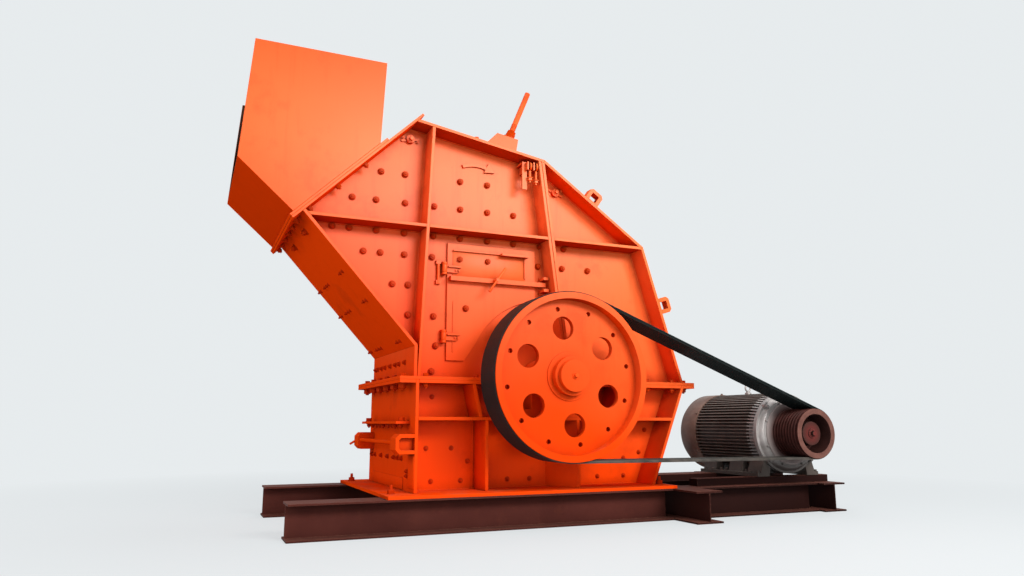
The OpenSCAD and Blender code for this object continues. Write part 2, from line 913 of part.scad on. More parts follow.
module upper_uprights() {
    color(paint) in_frame() front_and_rear()
        along_y(-upper_half, -wall_out)
            intersection() {
                above_flange();
                union() {
                    feed_upright();
                    difference() {
                        split_upright();
                        split_upright_gap();
                    }
                }
            }
}

module level_ribs() {
    color(paint) in_frame() front_and_rear()
        along_y(-upper_half, -wall_out)
            difference() {
                intersection() {
                    above_flange();
                    translate([-2 * mouth_reach, mouth_z - rib_t]) square([4 * mouth_reach, rib_t]);
                }
                feed_upright();
                split_upright();
            }
}

// Feed mouth flanges: a frame on the mouth's slope, and the chute's own frame on it
mouth_len = norm(edge_vector(upper_outline, mouth_edge));
chute_end = (mouth_reach - chute_foot_reach) / mouth_dir[0];
mouth_lip = 24;

// Strip beside the mouth's slope, with lengths measured up from the mouth's lower lip
function mouth_strip(from, to, low, high) =
    edge_strip(upper_outline, mouth_edge, mouth_len - to, mouth_len - from, low, high);

module mouth_frame(top_len, out) {
    color(paint) in_frame()
        difference() {
            along_y(-upper_half, upper_half)
                polygon(mouth_strip(-mouth_flange_low, top_len, out, out + mouth_flange_t));
            along_y(-wall_in, wall_in)
                polygon(mouth_strip(mouth_lip, chute_end - mouth_lip, out - eps, out + mouth_flange_t + eps));
        }
}

module mouth_flange() {
    mouth_frame(mouth_len + mouth_flange_high, seat);
}

module chute_flange() {
    flange_past_chute = 90;
    mouth_frame(chute_end + flange_past_chute, mouth_flange_t + 2 * seat);
}

module chute_side() {
    along_y(-upper_half, -upper_half + chute_t) polygon(chute_outline);
}

module chute_front_wall() {
    color(paint) in_frame() chute_side();
}

module chute_rear_wall() {
    color(paint) in_frame() mirror([0, 1, 0]) chute_side();
}

module chute_plate(i) {
    color(paint) in_frame() along_y(-upper_half + chute_t, upper_half - chute_t)
        edge_plate(chute_outline, chute_plates, i);
}

module chute_floor() {
    chute_plate(0);
}

module chute_back_wall() {
    chute_plate(2);
}

// Fittings on the roof and slopes
adjuster_y = 320;
adjuster_foot = [138, 432];
adjuster_foot_w = 130;
adjuster_foot_t = 20;
adjuster_box = [158, 319];
adjuster_box_w = 100;
adjuster_box_h = 160;
adjuster_slope_foot = 415;
rod_along = 213;
rod_d = 38;
rod_l = [403, 250];
rod_lean = [22, 0];

function on_roof(along, out) = on_edge(upper_outline, roof_edge, along, out);

// Screw box on the front of the roof, sloped towards the feed, with its rod drawn up
module adjuster(i) {
    rod_foot = on_roof(rod_along, adjuster_box_h);
    along_y(-adjuster_y - adjuster_foot_w / 2, -adjuster_y + adjuster_foot_w / 2)
        polygon(edge_strip(
            upper_outline, roof_edge, adjuster_foot[0], adjuster_foot[1], seat, adjuster_foot_t));
    along_y(-adjuster_y - adjuster_box_w / 2, -adjuster_y + adjuster_box_w / 2)
        polygon([
            on_roof(adjuster_box[0], adjuster_foot_t - eps),
            on_roof(adjuster_slope_foot, adjuster_foot_t - eps),
            on_roof(adjuster_box[1], adjuster_box_h),
            on_roof(adjuster_box[0], adjuster_box_h)
        ]);
    translate([rod_foot[0], -adjuster_y, rod_foot[1]]) rotate([0, rod_lean[i], 0])
        translate([0, 0, -rod_d]) cylinder(d = rod_d, h = rod_l[i] + rod_d);
}

module apron_adjusters() {
    color(paint) in_frame() {
        adjuster(0);
        mirror([0, 1, 0]) adjuster(1);
    }
}

lug_w = 60;
lug_l = 113;
lug_h = 108;
lug_corner = 18;
lug_hole = 56;
lug_bar = 26;
lug_front = 500;

// Lifting loop of thick bar on one of the back slopes, at a share of the slope's length
module slope_lug(edge, share) {
    mid = norm(edge_vector(upper_outline, edge)) * share;
    hole_top = lug_h - lug_bar;
    along_y(-lug_front, -lug_front + lug_w)
        difference() {
            polygon([
                on_edge(upper_outline, edge, mid - lug_l / 2, seat),
                on_edge(upper_outline, edge, mid + lug_l / 2, seat),
                on_edge(upper_outline, edge, mid + lug_l / 2, lug_h - lug_corner),
                on_edge(upper_outline, edge, mid + lug_l / 2 - lug_corner, lug_h),
                on_edge(upper_outline, edge, mid - lug_l / 2 + lug_corner, lug_h),
                on_edge(upper_outline, edge, mid - lug_l / 2, lug_h - lug_corner)
            ]);
            polygon(edge_strip(
                upper_outline, edge, mid - lug_hole / 2, mid + lug_hole / 2, hole_top - lug_hole, hole_top));
        }
}

module lifting_lugs() {
    upper_share = 0.523;
    lower_share = 0.57;
    color(paint) in_frame() front_and_rear() {
        slope_lug(upper_slope_edge, upper_share);
        slope_lug(lower_slope_edge, lower_share);
    }
}

// Impact aprons hung between the side walls on their pivot shafts
pivot_d = 60;
apron_t = 60;
apron_side_gap = 10;
feed_pivot_along = 81;
feed_pivot_in = 51;
back_pivot_along = 725;
back_pivot_in = 65;
feed_pivot = on_edge(upper_outline, mouth_edge, feed_pivot_along, -feed_pivot_in);
back_pivot = on_edge(upper_outline, upper_slope_edge, back_pivot_along, -back_pivot_in);

// Point round the rotor axis, at a distance from the blow bars' circle
function round_rotor(gap, angle) = [0, shaft_z] + (blow_d / 2 + gap) * [cos(angle), sin(angle)];

module apron(pivot, knee, tip) {
    color("dimgray") in_frame() {
        along_y(-wall_in, wall_in) translate(pivot) circle(d = pivot_d);
        along_y(-wall_in + apron_side_gap, wall_in - apron_side_gap)
            polygon([
                pivot - [pivot_d / 2, 0], knee, tip,
                tip + [apron_t, 0], knee + [apron_t, apron_t / 2], pivot + [pivot_d / 2, 0]
            ]);
    }
}

module feed_apron() {
    knee_gap = 612;
    knee_angle = 117.6;
    tip_gap = 117;
    tip_angle = 127.5;
    apron(feed_pivot, round_rotor(knee_gap, knee_angle), round_rotor(tip_gap, tip_angle));
}

module back_apron() {
    knee_gap = 546;
    knee_angle = 57.6;
    tip_gap = 88;
    tip_angle = 33.1;
    apron(back_pivot, round_rotor(knee_gap, knee_angle), round_rotor(tip_gap, tip_angle));
}

// Covers of the apron pivots outside both side walls
module pivot_bosses() {
    boss_d = 56;
    boss_h = 26;
    color(paint) in_frame() front_and_rear()
        along_y(-wall_out - boss_h, -wall_out)
            for (pivot = [feed_pivot, back_pivot])
                translate(pivot) circle(d = boss_d);
}

// Inspection door on the drive side
knuckle_r = 16;
knuckle_h = 50;
knuckle_out = 14;
hinge_past_edge = 24;
hinge_z = [door_low_z + 151, door_top_z - 175];
door_face = -wall_out - door_gap - door_t;
hinge_x = -door_hinged_edge - hinge_past_edge;
hinge_y = door_face - knuckle_out;
bar_z = door_top_z - 240;
bar_h = 30;
bar_t = 16;
bar_stand_off = 30;
bar_in = 10;
keeper_w = 36;
keeper_x = -door_free_edge + 34;
keeper_reach = 90;
keeper_jaw_h = 20;
keeper_jaw_gap = 60;

module door_fittings() {
    lug_tall = 16;
    lug_gap = 1;
    foot_t = 12;
    color(paint) in_frame() {
        for (z = hinge_z) {
            for (side = [-1, 1])
                translate([hinge_x, hinge_y, z + side * (knuckle_h / 2 + lug_gap + lug_tall / 2)]) {
                    cylinder(r = knuckle_r, h = lug_tall, center = true);
                    translate([-knuckle_r, 0, -lug_tall / 2])
                        cube([1.5 * knuckle_r, -wall_out - hinge_y, lug_tall]);
                }
            translate([hinge_x, hinge_y, z])
                cylinder(d = pin_d, h = knuckle_h + 2 * lug_gap + lug_tall, center = true);
        }
        translate([keeper_x, -wall_out - foot_t, bar_z - keeper_jaw_gap])
            cube([keeper_w, foot_t, 2 * keeper_jaw_gap]);
        for (side = [-1, 1])
            translate([keeper_x, -wall_out - keeper_reach, bar_z])
                translate([0, 0, side * (keeper_jaw_gap + keeper_jaw_h) / 2 - keeper_jaw_h / 2])
                    cube([keeper_w, keeper_reach, keeper_jaw_h]);
    }
}

module inspection_door() {
    strap_l = 90;
    strap_t = 4;
    color(paint) in_frame()
        difference() {
            union() {
                along_y(door_face, door_face + door_t)
                    door_shape(0);
                for (z = hinge_z) {
                    translate([hinge_x, hinge_y, z]) cylinder(r = knuckle_r, h = knuckle_h, center = true);
                    translate([hinge_x, hinge_y - strap_t, z - knuckle_h / 2])
                        cube([strap_l, knuckle_out + strap_t + eps, knuckle_h]);
                }
            }
            for (z = hinge_z)
                translate([hinge_x, hinge_y, z])
                    cylinder(d = pin_d + 2 * fit, h = knuckle_h + 2 * eps, center = true);
        }
}

module door_clamp_bar() {
    foot_l = 40;
    screw_d = 24;
    screw_past_bar = 60;
    handle_d = 16;
    handle_l = 200;
    handle_turn = 35;
    bar_x0 = -door_hinged_edge + bar_in;
    bar_y0 = door_face - bar_stand_off - bar_t;
    screw_x = -(door_hinged_edge + door_free_edge) / 2;
    color(paint) in_frame() {
        translate([bar_x0, bar_y0, bar_z - bar_h / 2])
            cube([keeper_x + keeper_w - bar_in - bar_x0, bar_t, bar_h]);
        translate([bar_x0, bar_y0 + bar_t - eps, bar_z - bar_h / 2])
            cube([foot_l, bar_stand_off + eps, bar_h]);
        translate([screw_x, bar_y0 - screw_past_bar, bar_z]) rotate([-90, 0, 0])
            cylinder(d = screw_d, h = screw_past_bar + bar_t + bar_stand_off);
        translate([screw_x, bar_y0 - screw_past_bar + handle_d / 2, bar_z]) rotate([0, handle_turn, 0])
            cylinder(d = handle_d, h = handle_l, center = true);
    }
}

front_skid_beam();
rear_skid_beam();
mid_cross_beam();
end_cross_beam();
motor_beams();
motor_rails();
motor_frame();
motor_feet();
motor_end_bell();
motor_bearing_cover();
motor_fan_cowl();
motor_terminal_box();
motor_shaft();
motor_pulley();
drive_belts();
drive_pulley();
rotor_shaft();
rotor_drum();
blow_bars();
bearings();
bearing_shelves();
base_plate();
lower_front_wall();
lower_rear_wall();
lower_feed_wall();
lower_back_wall();
lower_ribs();
feed_wall_brackets();
feed_wall_ledge();
lower_split_flange();
upper_split_flange();
front_wall_beside_door();
front_wall_over_door();
front_wall_under_door();
front_wall_back();
upper_rear_wall();
upper_feed_wall();
throat_floor();
roof_plate();
upper_back_slope();
lower_back_slope();
upper_uprights();
level_ribs();
mouth_flange();
chute_flange();
chute_front_wall();
chute_rear_wall();
chute_floor();
chute_back_wall();
apron_adjusters();
lifting_lugs();
feed_apron();
back_apron();
pivot_bosses();
door_fittings();
inspection_door();
door_clamp_bar();
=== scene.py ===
# %% [markdown]
# # Dressing an impact crusher
# This lesson takes the packed solids of a belt-driven impact crusher and gives them the looks of
# the real machine. The solids stay as they are: every cell below either paints them or adds the
# small forms that a workshop adds after the plates are welded, such as nuts, weld beads and caps.

# %% Load the packed frame
import json
import math

import bmesh
import bpy
from mathutils import Matrix, Vector


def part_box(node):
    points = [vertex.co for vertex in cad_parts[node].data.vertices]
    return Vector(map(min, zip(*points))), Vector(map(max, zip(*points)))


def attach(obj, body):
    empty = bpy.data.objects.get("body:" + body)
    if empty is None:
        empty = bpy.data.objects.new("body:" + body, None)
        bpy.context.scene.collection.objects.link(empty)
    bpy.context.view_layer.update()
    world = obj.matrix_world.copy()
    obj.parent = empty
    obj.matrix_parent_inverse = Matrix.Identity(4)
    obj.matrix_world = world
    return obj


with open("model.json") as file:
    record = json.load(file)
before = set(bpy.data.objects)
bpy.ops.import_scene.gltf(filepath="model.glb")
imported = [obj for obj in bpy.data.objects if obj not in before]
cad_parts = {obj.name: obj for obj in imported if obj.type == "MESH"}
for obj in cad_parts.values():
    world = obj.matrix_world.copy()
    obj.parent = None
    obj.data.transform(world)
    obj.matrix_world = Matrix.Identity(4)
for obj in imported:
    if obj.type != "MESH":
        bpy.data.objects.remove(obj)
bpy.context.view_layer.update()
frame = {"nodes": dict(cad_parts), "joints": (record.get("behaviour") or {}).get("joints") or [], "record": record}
nodes = frame["nodes"]
scene = bpy.context.scene

# %% [markdown]
# ## Where things are
# A millwright measures this machine from the rotor shaft. The packed record gives the shaft's
# place, so one helper turns machine millimetres, from the shaft, the middle plane and the floor,
# into the frame's metres. Every piece is then placed with the numbers a drawing would carry.

# %% Machine millimetres
joint_at = {joint["name"]: Vector(joint["pos_m"]) for joint in frame["joints"]}
shaft = joint_at["rotor_spin"]
motor_axis = joint_at["motor_spin"]
MM = 0.001


def place(x, y, z):
    """A point given in millimetres from the rotor shaft, the middle plane and the floor."""
    return Vector((shaft.x + x * MM, y * MM, z * MM))


for name, spot in joint_at.items():
    print(name, "at", tuple(round(v, 4) for v in spot))

# %% [markdown]
# ## Camera
# The photographer stood low, at the feed end of the drive side, and tipped the camera up a little.
# The place and the lens follow from the vanishing points of the skid and the housing, so the
# render can be laid beside the photograph edge by edge.

# %% Camera
camera = bpy.data.objects.new("camera", bpy.data.cameras.new("camera"))
scene.collection.objects.link(camera)
camera.location = place(-2173.7, -4955.9, 625.3)
camera.rotation_euler = (math.radians(100.23), 0, math.radians(-23.48))
camera.data.lens = 26.35
camera.data.sensor_width = 36
scene.camera = camera
print("camera at", tuple(round(v, 3) for v in camera.location))

# %% [markdown]
# ## Shader sums
# A node tree is hard to read as a list of links. This small class wraps one socket, so that a
# mask can be written as a sum, and its one method `node` makes any other node that is needed. A
# second class starts a material with the wires that most finishes here share: the place on the
# machine, and how far a face looks up or towards the drive side.

# %% Shader helper
class Wire:
    """One output socket of a node tree, with arithmetic."""

    def __init__(self, socket):
        self.socket = socket
        self.tree = socket.id_data

    def node(self, kind, settings, inputs, output=0):
        """Adds a node of a type, with its settings and the values or links of its sockets."""
        made = self.tree.nodes.new(kind)
        for key, value in settings.items():
            setattr(made, key, value)
        for key, value in inputs.items():
            if isinstance(value, Wire):
                self.tree.links.new(value.socket, made.inputs[key])
            else:
                made.inputs[key].default_value = value
        return Wire(made.outputs[output])

    def maths(self, operation, a, b):
        return self.node("ShaderNodeMath", {"operation": operation}, {0: a, 1: b})

    def __add__(self, other):
        return self.maths("ADD", self, other)

    __radd__ = __add__

    def __mul__(self, other):
        return self.maths("MULTIPLY", self, other)

    __rmul__ = __mul__

    def __sub__(self, other):
        return self.maths("SUBTRACT", self, other)

    def __rsub__(self, other):
        return self.maths("SUBTRACT", other, self)

    def vector(self, operation, other=(0, 0, 0), output="Vector"):
        """A sum on whole vectors; the output Value is for those that give one number."""
        sockets = {0: self, 1: other}
        return self.node("ShaderNodeVectorMath", {"operation": operation}, sockets, output)

    def axis(self, index):
        """One number of a vector: 0 for X, 1 for Y, 2 for Z."""
        return self.node("ShaderNodeSeparateXYZ", {}, {0: self}, index)

    def step(self, low, high):
        """Runs from 0 at low to 1 at high, and stays there."""
        return self.node("ShaderNodeMapRange", {"clamp": True}, {0: self, 1: low, 2: high})

    def noise(self, scale, detail=3.0, rough=0.55):
        sockets = {"Vector": self, "Scale": scale, "Detail": detail, "Roughness": rough}
        return self.node("ShaderNodeTexNoise", {}, sockets)

    def stretched(self, scale):
        return self.node("ShaderNodeMapping", {}, {"Vector": self, "Scale": scale})

    def between(self, one, two):
        """A colour between two, with this wire as the share of the second."""
        one = one if isinstance(one, Wire) else (*one, 1)
        two = two if isinstance(two, Wire) else (*two, 1)
        return self.node("ShaderNodeMix", {"data_type": "RGBA"}, {0: self, 6: one, 7: two}, 2)


print("shader sums:", [name for name in vars(Wire) if not name.startswith("_")])

# %% Finish helper
class Finish:
    """A new material with its shader and the wires that most finishes start from."""

    def __init__(self, name, specular, metallic=0.0, roughness=0.5):
        self.material = bpy.data.materials.new(name)
        self.material.use_nodes = True
        self.tree = self.material.node_tree
        self.shader = self.tree.nodes["Principled BSDF"]
        self.shader.inputs["Specular IOR Level"].default_value = specular
        self.shader.inputs["Metallic"].default_value = metallic
        self.shader.inputs["Roughness"].default_value = roughness
        self.where = Wire(self.tree.nodes.new("ShaderNodeTexCoord").outputs["Object"])
        self.normal = Wire(self.tree.nodes.new("ShaderNodeNewGeometry").outputs["Normal"])
        self.facing_up = self.normal.axis(2)
        self.facing_drive = 0 - self.normal.axis(1)

    def feed(self, **wires):
        for name, wire in wires.items():
            self.tree.links.new(wire.socket, self.shader.inputs[name.replace("_", " ")])

    def bump(self, height, strength, distance):
        sockets = {"Strength": strength, "Distance": distance, "Height": height}
        self.feed(Normal=height.node("ShaderNodeBump", {}, sockets))

    def cover(self, share, upper):
        """Mixes another shader over the finish, with a wire as its share."""
        lower = Wire(self.shader.outputs[0])
        both = share.node("ShaderNodeMixShader", {}, {0: share, 1: lower, 2: upper})
        self.tree.links.new(both.socket, self.tree.nodes["Material Output"].inputs["Surface"])

    def sheen(self, share, roughness):
        """Lays a thin white gloss on the finish: a share of its light is from a soft mirror."""
        sockets = {"Base Color": (1, 1, 1, 1), "Metallic": 1.0, "Roughness": roughness}
        self.cover(share, share.node("ShaderNodeBsdfPrincipled", {}, sockets))

    def corners(self, reach):
        """1 in a tight inside corner, 0 on an open face."""
        sockets = {"Distance": reach}
        return 1 - self.where.node("ShaderNodeAmbientOcclusion", {"samples": 6}, sockets, "AO")

    def edges(self, radius):
        """1 along a worn outside edge, 0 on a flat face, from how far a rounded normal turns."""
        rounded = self.where.node("ShaderNodeBevel", {"samples": 4}, {"Radius": radius})
        return (1 - self.normal.vector("DOT_PRODUCT", rounded, "Value")).step(0.02, 0.18)


print("finish helper:", [name for name in vars(Finish) if not name.startswith("_")])

# %% [markdown]
# ## Orange housing paint
# The housing is sprayed with a bright orange gloss over primer. The coat is never even: it is a
# little redder where it is thin, it holds dust on level faces, and it is knocked off along plate
# edges. Broad and fine noise give the first, the face's direction the second, and a rounded-normal
# mask gives the worn edges, so no picture is needed. Corners get painted shade, faces that look
# down get painted shade, and the upper half is painted lighter as painted light, where the coat also
# keeps a thin gloss. The drive pulley's coat is a shade darker. The nuts get a darker coat as painted
# shade, and the faces in the chute are painted near black as painted shade.

# %% Orange paint
def orange_paint(name, fresh, painted_lit_tone, gloss, shaded_side=None):
    """Orange gloss; faces that look towards shaded_side are painted near black, as painted shade."""
    coat = Finish(name, specular=0.0)
    broad = coat.where.noise(1.1, 4.0)
    cloud = coat.where.noise(6.0, 5.0, 0.6)
    speck = coat.where.noise(85.0, 3.0, 0.7)
    runs = coat.where.stretched((9.0, 9.0, 0.7)).noise(2.2, 4.0, 0.6)
    along, height = coat.where.axis(0), coat.where.axis(2)
    # Painted light: the upper half is painted lighter, less so at the very top and not on faces that look down.
    upper_painted_light = (height + 0.4 * along + 0.7 * broad).step(0.9, 2.3) * coat.facing_up.step(-0.6, -0.1)
    paint = (upper_painted_light * (1 - 0.6 * height.step(2.3, 2.95))).between(fresh, painted_lit_tone)
    paint = (runs.step(0.52, 0.78) * 0.25).between(paint, tuple(0.8 * v for v in fresh))
    # Painted shade: corners are darkened from ambient occlusion, made patchy by noise.
    corner_shade = coat.corners(0.10).step(0.16, 0.8) * (0.35 + 0.65 * cloud.step(0.3, 0.62)) * 0.72
    paint = corner_shade.between(paint, (0.20, 0.014, 0.002))
    # Painted shade: faces that look straight down are darker.
    painted_underside_shade = 0.72 - 0.72 * coat.facing_up.step(-0.97, -0.8)
    paint = painted_underside_shade.between(paint, (0.22, 0.013, 0.002))
    smudge = (0.75 * coat.where.noise(3.2, 6.0, 0.66) + 0.25 * cloud).step(0.54, 0.66) * 0.34
    paint = smudge.between(paint, (0.46, 0.034, 0.004))
    dust = coat.facing_up.step(0.55, 0.95) * cloud.step(0.4, 0.72) * 0.35
    paint = dust.between(paint, (0.60, 0.16, 0.07))
    chips = coat.edges(0.006) * (speck * 0.6 + cloud * 0.4).step(0.57, 0.64)
    paint = chips.between(paint, (0.20, 0.040, 0.02))
    open_face = (1 - 0.7 * corner_shade - 0.3 * dust) * coat.facing_up.step(-0.6, -0.05)
    # Painted shade: faces that look into the chute are painted near black and lose the gloss.
    if shaded_side:
        chute_shade_mask = coat.normal.vector("DOT_PRODUCT", shaded_side, "Value").step(0.6, 0.85)
        chute_shade_tone = cloud.step(0.35, 0.65).between((0.020, 0.010, 0.007), (0.045, 0.024, 0.017))
        paint = chute_shade_mask.between(paint, chute_shade_tone)
        open_face = open_face * (1 - chute_shade_mask)
    coat.feed(Base_Color=paint, Roughness=0.45 + 0.2 * cloud)
    coat.bump(speck * 0.25 + cloud * 0.75 - chips * 0.5, 0.12, 0.004)
    coat.sheen((0.003 + gloss * height.step(0.6, 2.1)) * open_face, 0.36)
    return coat.material


# PAINTED_LIT_TONE is the lighter tone of the painted light on the upper half.
FRESH, PAINTED_LIT_TONE, GLOSS = (0.83, 0.057, 0.0015), (0.90, 0.166, 0.040), 0.012
looks = {"housing_paint": orange_paint("orange_paint", FRESH, PAINTED_LIT_TONE, GLOSS)}
# Painted shade: the nuts get a darker coat than the walls.
shaded_nut_paint = orange_paint("shaded_nut_paint", (0.52, 0.030, 0.0010), (0.50, 0.048, 0.0015), 0.001)
print("made", looks["housing_paint"].name, "and", shaded_nut_paint.name)

# %% Coats of single nodes
# Each chute wall carries painted shade on the faces that look into the chute.
chute_insides = {
    "chute_front_wall": (FRESH, (0, 1, 0)),
    "chute_rear_wall": (FRESH, (0, -1, 0)),
    "chute_back_wall": (FRESH, (-1, 0, 0)),
    # The chute floor's base tone is darker, as painted shade.
    "chute_floor": ((0.64, 0.040, 0.0010), (0.66, 0, 0.75))}
node_looks = {
    name: orange_paint(name + "_paint", fresh, PAINTED_LIT_TONE, GLOSS, side)
    for name, (fresh, side) in chute_insides.items()}
node_looks["drive_pulley"] = orange_paint(
    "pulley_orange", (0.70, 0.048, 0.0012), (0.78, 0.138, 0.033), 0.010)
print("coats of their own:", sorted(node_looks))

# %% [markdown]
# ## Skid, motor, belt and bare steel
# The skid is in dark red-brown primer with rust bloom and pale dust on its upper flanges. The
# motor is a grey-brown casting with a silver end bell and a brownish pressed cowl. The belt is
# black rubber that is polished where it runs. Turned shafts stay bright with rings of tool marks.
# A flat colour would look like plastic, so each starts from two or three noises of its own.

# %% Skid primer
def skid_primer():
    """Primer with rust, painted shade in the corners, a painted shadow towards the motor end and dust on level
    faces.
    """
    coat = Finish("skid_primer", specular=0.05)
    dark, warm = (0.068, 0.0165, 0.0125), (0.105, 0.027, 0.020)
    broad = coat.where.noise(2.0, 5.0, 0.6)
    cloud = coat.where.noise(14.0, 5.0, 0.62)
    speck = coat.where.noise(120.0, 2.0, 0.7)
    paint = broad.step(0.35, 0.7).between(dark, warm)
    rust = (cloud * 0.7 + speck * 0.3).step(0.55, 0.66)
    paint = (rust * 0.2).between(paint, (0.14, 0.036, 0.02))
    # Painted shade: corners, such as the web under the top flange, are darkened from ambient occlusion.
    corner_shade = coat.corners(0.16).step(0.22, 0.75) * 0.8
    paint = corner_shade.between(paint, tuple(0.22 * v for v in dark))
    # Painted shadow: faces that don't look up darken to near black towards the motor end.
    motor_end_shadow = coat.where.axis(0).step(0.35, 0.95) * (1 - coat.facing_up.step(0.3, 0.7)) * 0.86
    paint = motor_end_shadow.between(paint, (0.010, 0.0035, 0.003))
    dust = coat.facing_up.step(0.5, 0.95) * (0.45 + 0.55 * cloud.step(0.3, 0.65)) * 0.5
    paint = dust.between(paint, (0.17, 0.072, 0.052))
    worn = coat.edges(0.006) * speck.step(0.45, 0.6)
    paint = (worn * 0.8).between(paint, (0.21, 0.10, 0.07))
    coat.feed(Base_Color=paint, Roughness=0.48 + 0.2 * cloud + 0.2 * dust)
    coat.bump(cloud * 0.6 + rust * 0.4, 0.2, 0.003)
    return coat.material


looks["skid_paint"] = skid_primer()
print("made", looks["skid_paint"].name)

# %% Small pulley's primer
def pulley_primer():
    """Primer that is worn pale on the rim's front, with painted shade within the rim and a painted highlight on
    the hub round its bolt.
    """
    coat = Finish("pulley_primer", specular=0.08)
    cloud = coat.where.noise(16.0, 5.0, 0.6)
    speck = coat.where.noise(140.0, 2.0, 0.7)
    radius = coat.where.vector("SUBTRACT", motor_axis).vector("MULTIPLY", (1, 0, 1))
    radius = radius.vector("LENGTH", output="Value")
    forward = 0 - coat.where.axis(1)
    front_face = coat.facing_drive.step(0.6, 0.9)
    paint = cloud.step(0.35, 0.68).between((0.040, 0.0125, 0.010), (0.070, 0.021, 0.017))
    silver = radius.step(0.165, 0.222) * (1 - forward.step(0.67, 0.69))
    paint = (silver * 0.8).between(paint, (0.30, 0.265, 0.255))
    # Painted shade: the faces within the rim are darkened.
    recess_shade = (1 - radius.step(0.1338, 0.1352)) * forward.step(0.74, 0.76)
    paint = (recess_shade * 0.75).between(paint, (0.012, 0.006, 0.005))
    hub = (1 - radius.step(0.080, 0.083)) * forward.step(0.74, 0.76) * front_face
    # Painted highlight: the hub is redder and lighter towards its bolt.
    hub_tone_and_highlight = radius.step(0.030, 0.075).between((0.120, 0.022, 0.019), (0.062, 0.021, 0.017))
    paint = hub.between(paint, hub_tone_and_highlight)
    rim = front_face * radius.step(0.1338, 0.1352) * forward.step(0.88, 0.895)
    rim_wear = rim * (0.55 + 0.45 * cloud.step(0.3, 0.6))
    paint = rim_wear.between(paint, (0.155, 0.068, 0.053))
    worn = coat.edges(0.004) * speck.step(0.4, 0.6)
    paint = (worn * 0.7).between(paint, (0.23, 0.12, 0.10))
    coat.feed(Base_Color=paint, Roughness=0.4 + 0.25 * cloud)
    coat.bump(cloud * 0.5 + speck * 0.5, 0.15, 0.002)
    return coat.material


looks["motor_pulley_paint"] = pulley_primer()
print("made", looks["motor_pulley_paint"].name)

# %% Castings
def cast_paint(name, dark, light, roughness, metallic, grain, gap_shade=0.75, low_shade_and_dirt_share=0.0):
    """A painted casting, with painted shade in its gaps and a share of dirt and painted shade on its lower part.
    """
    coat = Finish(name, specular=0.2, metallic=metallic)
    cloud = coat.where.noise(9.0, 5.0, 0.6)
    pores = coat.where.noise(grain, 3.0, 0.7)
    paint = cloud.step(0.3, 0.7).between(dark, light)
    # Painted shade: the gaps between fins and parts are darkened from ambient occlusion.
    corner_shade = coat.corners(0.04).step(0.3, 0.9) * gap_shade
    paint = corner_shade.between(paint, tuple(0.25 * v for v in dark))
    # Dirt and painted shade: the casting is darker low down.
    low_shade_and_dirt = (1 - (coat.where.axis(2) + 0.12 * cloud).step(0.38, 0.58)) * low_shade_and_dirt_share
    paint = low_shade_and_dirt.between(paint, (0.040, 0.032, 0.028))
    dust = coat.facing_up.step(0.6, 1.0) * cloud.step(0.35, 0.7) * 0.3
    paint = dust.between(paint, (0.30, 0.25, 0.21))
    coat.feed(Base_Color=paint, Roughness=roughness - 0.08 + 0.16 * cloud + 0.15 * dust)
    coat.bump(pores * 0.6 + cloud * 0.4, 0.16, 0.002)
    return coat.material


looks["motor_grey"] = cast_paint(
    "motor_casting", (0.105, 0.082, 0.070), (0.185, 0.150, 0.130),
    roughness=0.5, metallic=0.0, grain=150.0, gap_shade=0.92, low_shade_and_dirt_share=0.7)
looks["motor_bell"] = cast_paint(
    "silver_casting", (0.28, 0.26, 0.25), (0.46, 0.435, 0.425),
    roughness=0.42, metallic=0.3, grain=130.0, low_shade_and_dirt_share=0.85)
looks["motor_cowl"] = cast_paint(
    "cowl_sheet", (0.120, 0.062, 0.045), (0.20, 0.125, 0.098),
    roughness=0.45, metallic=0.0, grain=90.0)
looks["rotor_steel"] = cast_paint(
    "worn_cast_steel", (0.07, 0.06, 0.052), (0.15, 0.13, 0.115),
    roughness=0.55, metallic=0.6, grain=60.0)
print("castings made, finishes so far:", len(looks))

# %% Belt rubber
def belt_rubber():
    """Black rubber, scuffed along its run and dusty on the lower front edge."""
    coat = Finish("belt_rubber", specular=0.08)
    cloud = coat.where.noise(11.0, 4.0, 0.6)
    grain = coat.where.noise(260.0, 2.0, 0.6)
    scuffs = coat.where.stretched((0.6, 26.0, 0.6)).noise(5.0, 4.0, 0.6)
    rubber = cloud.step(0.35, 0.7).between((0.008, 0.0130, 0.0125), (0.013, 0.0180, 0.0175))
    rubber = (scuffs.step(0.5, 0.75) * 0.6).between(rubber, (0.022, 0.020, 0.018))
    low_front = (1 - coat.where.axis(2).step(0.40, 0.46)) * coat.facing_drive.step(0.6, 0.9)
    dust = low_front * (0.2 + 0.4 * cloud.step(0.35, 0.6))
    rubber = dust.between(rubber, (0.13, 0.105, 0.09))
    coat.feed(Base_Color=rubber, Roughness=0.36 + 0.22 * cloud + 0.12 * scuffs)
    coat.bump(grain * 0.4 + scuffs * 0.6, 0.2, 0.0015)
    return coat.material


looks["belt_rubber"] = belt_rubber()
print("made", looks["belt_rubber"].name)

# %% Turned steel
def turned_steel():
    """Bare shafts with fine rings round their axis, which runs along Y, and some stain."""
    coat = Finish("turned_steel", specular=0.5, metallic=1.0)
    rings = coat.where.stretched((1.0, 90.0, 1.0)).noise(8.0, 2.0)
    stain = coat.where.noise(16.0, 4.0)
    steel = stain.step(0.4, 0.75).between((0.46, 0.45, 0.44), (0.27, 0.23, 0.20))
    coat.feed(Base_Color=steel, Roughness=0.24 + 0.16 * rings + 0.2 * stain.step(0.45, 0.7))
    coat.bump(rings, 0.12, 0.001)
    return coat.material


looks["bare_steel"] = turned_steel()
print("finishes:", sorted(looks))

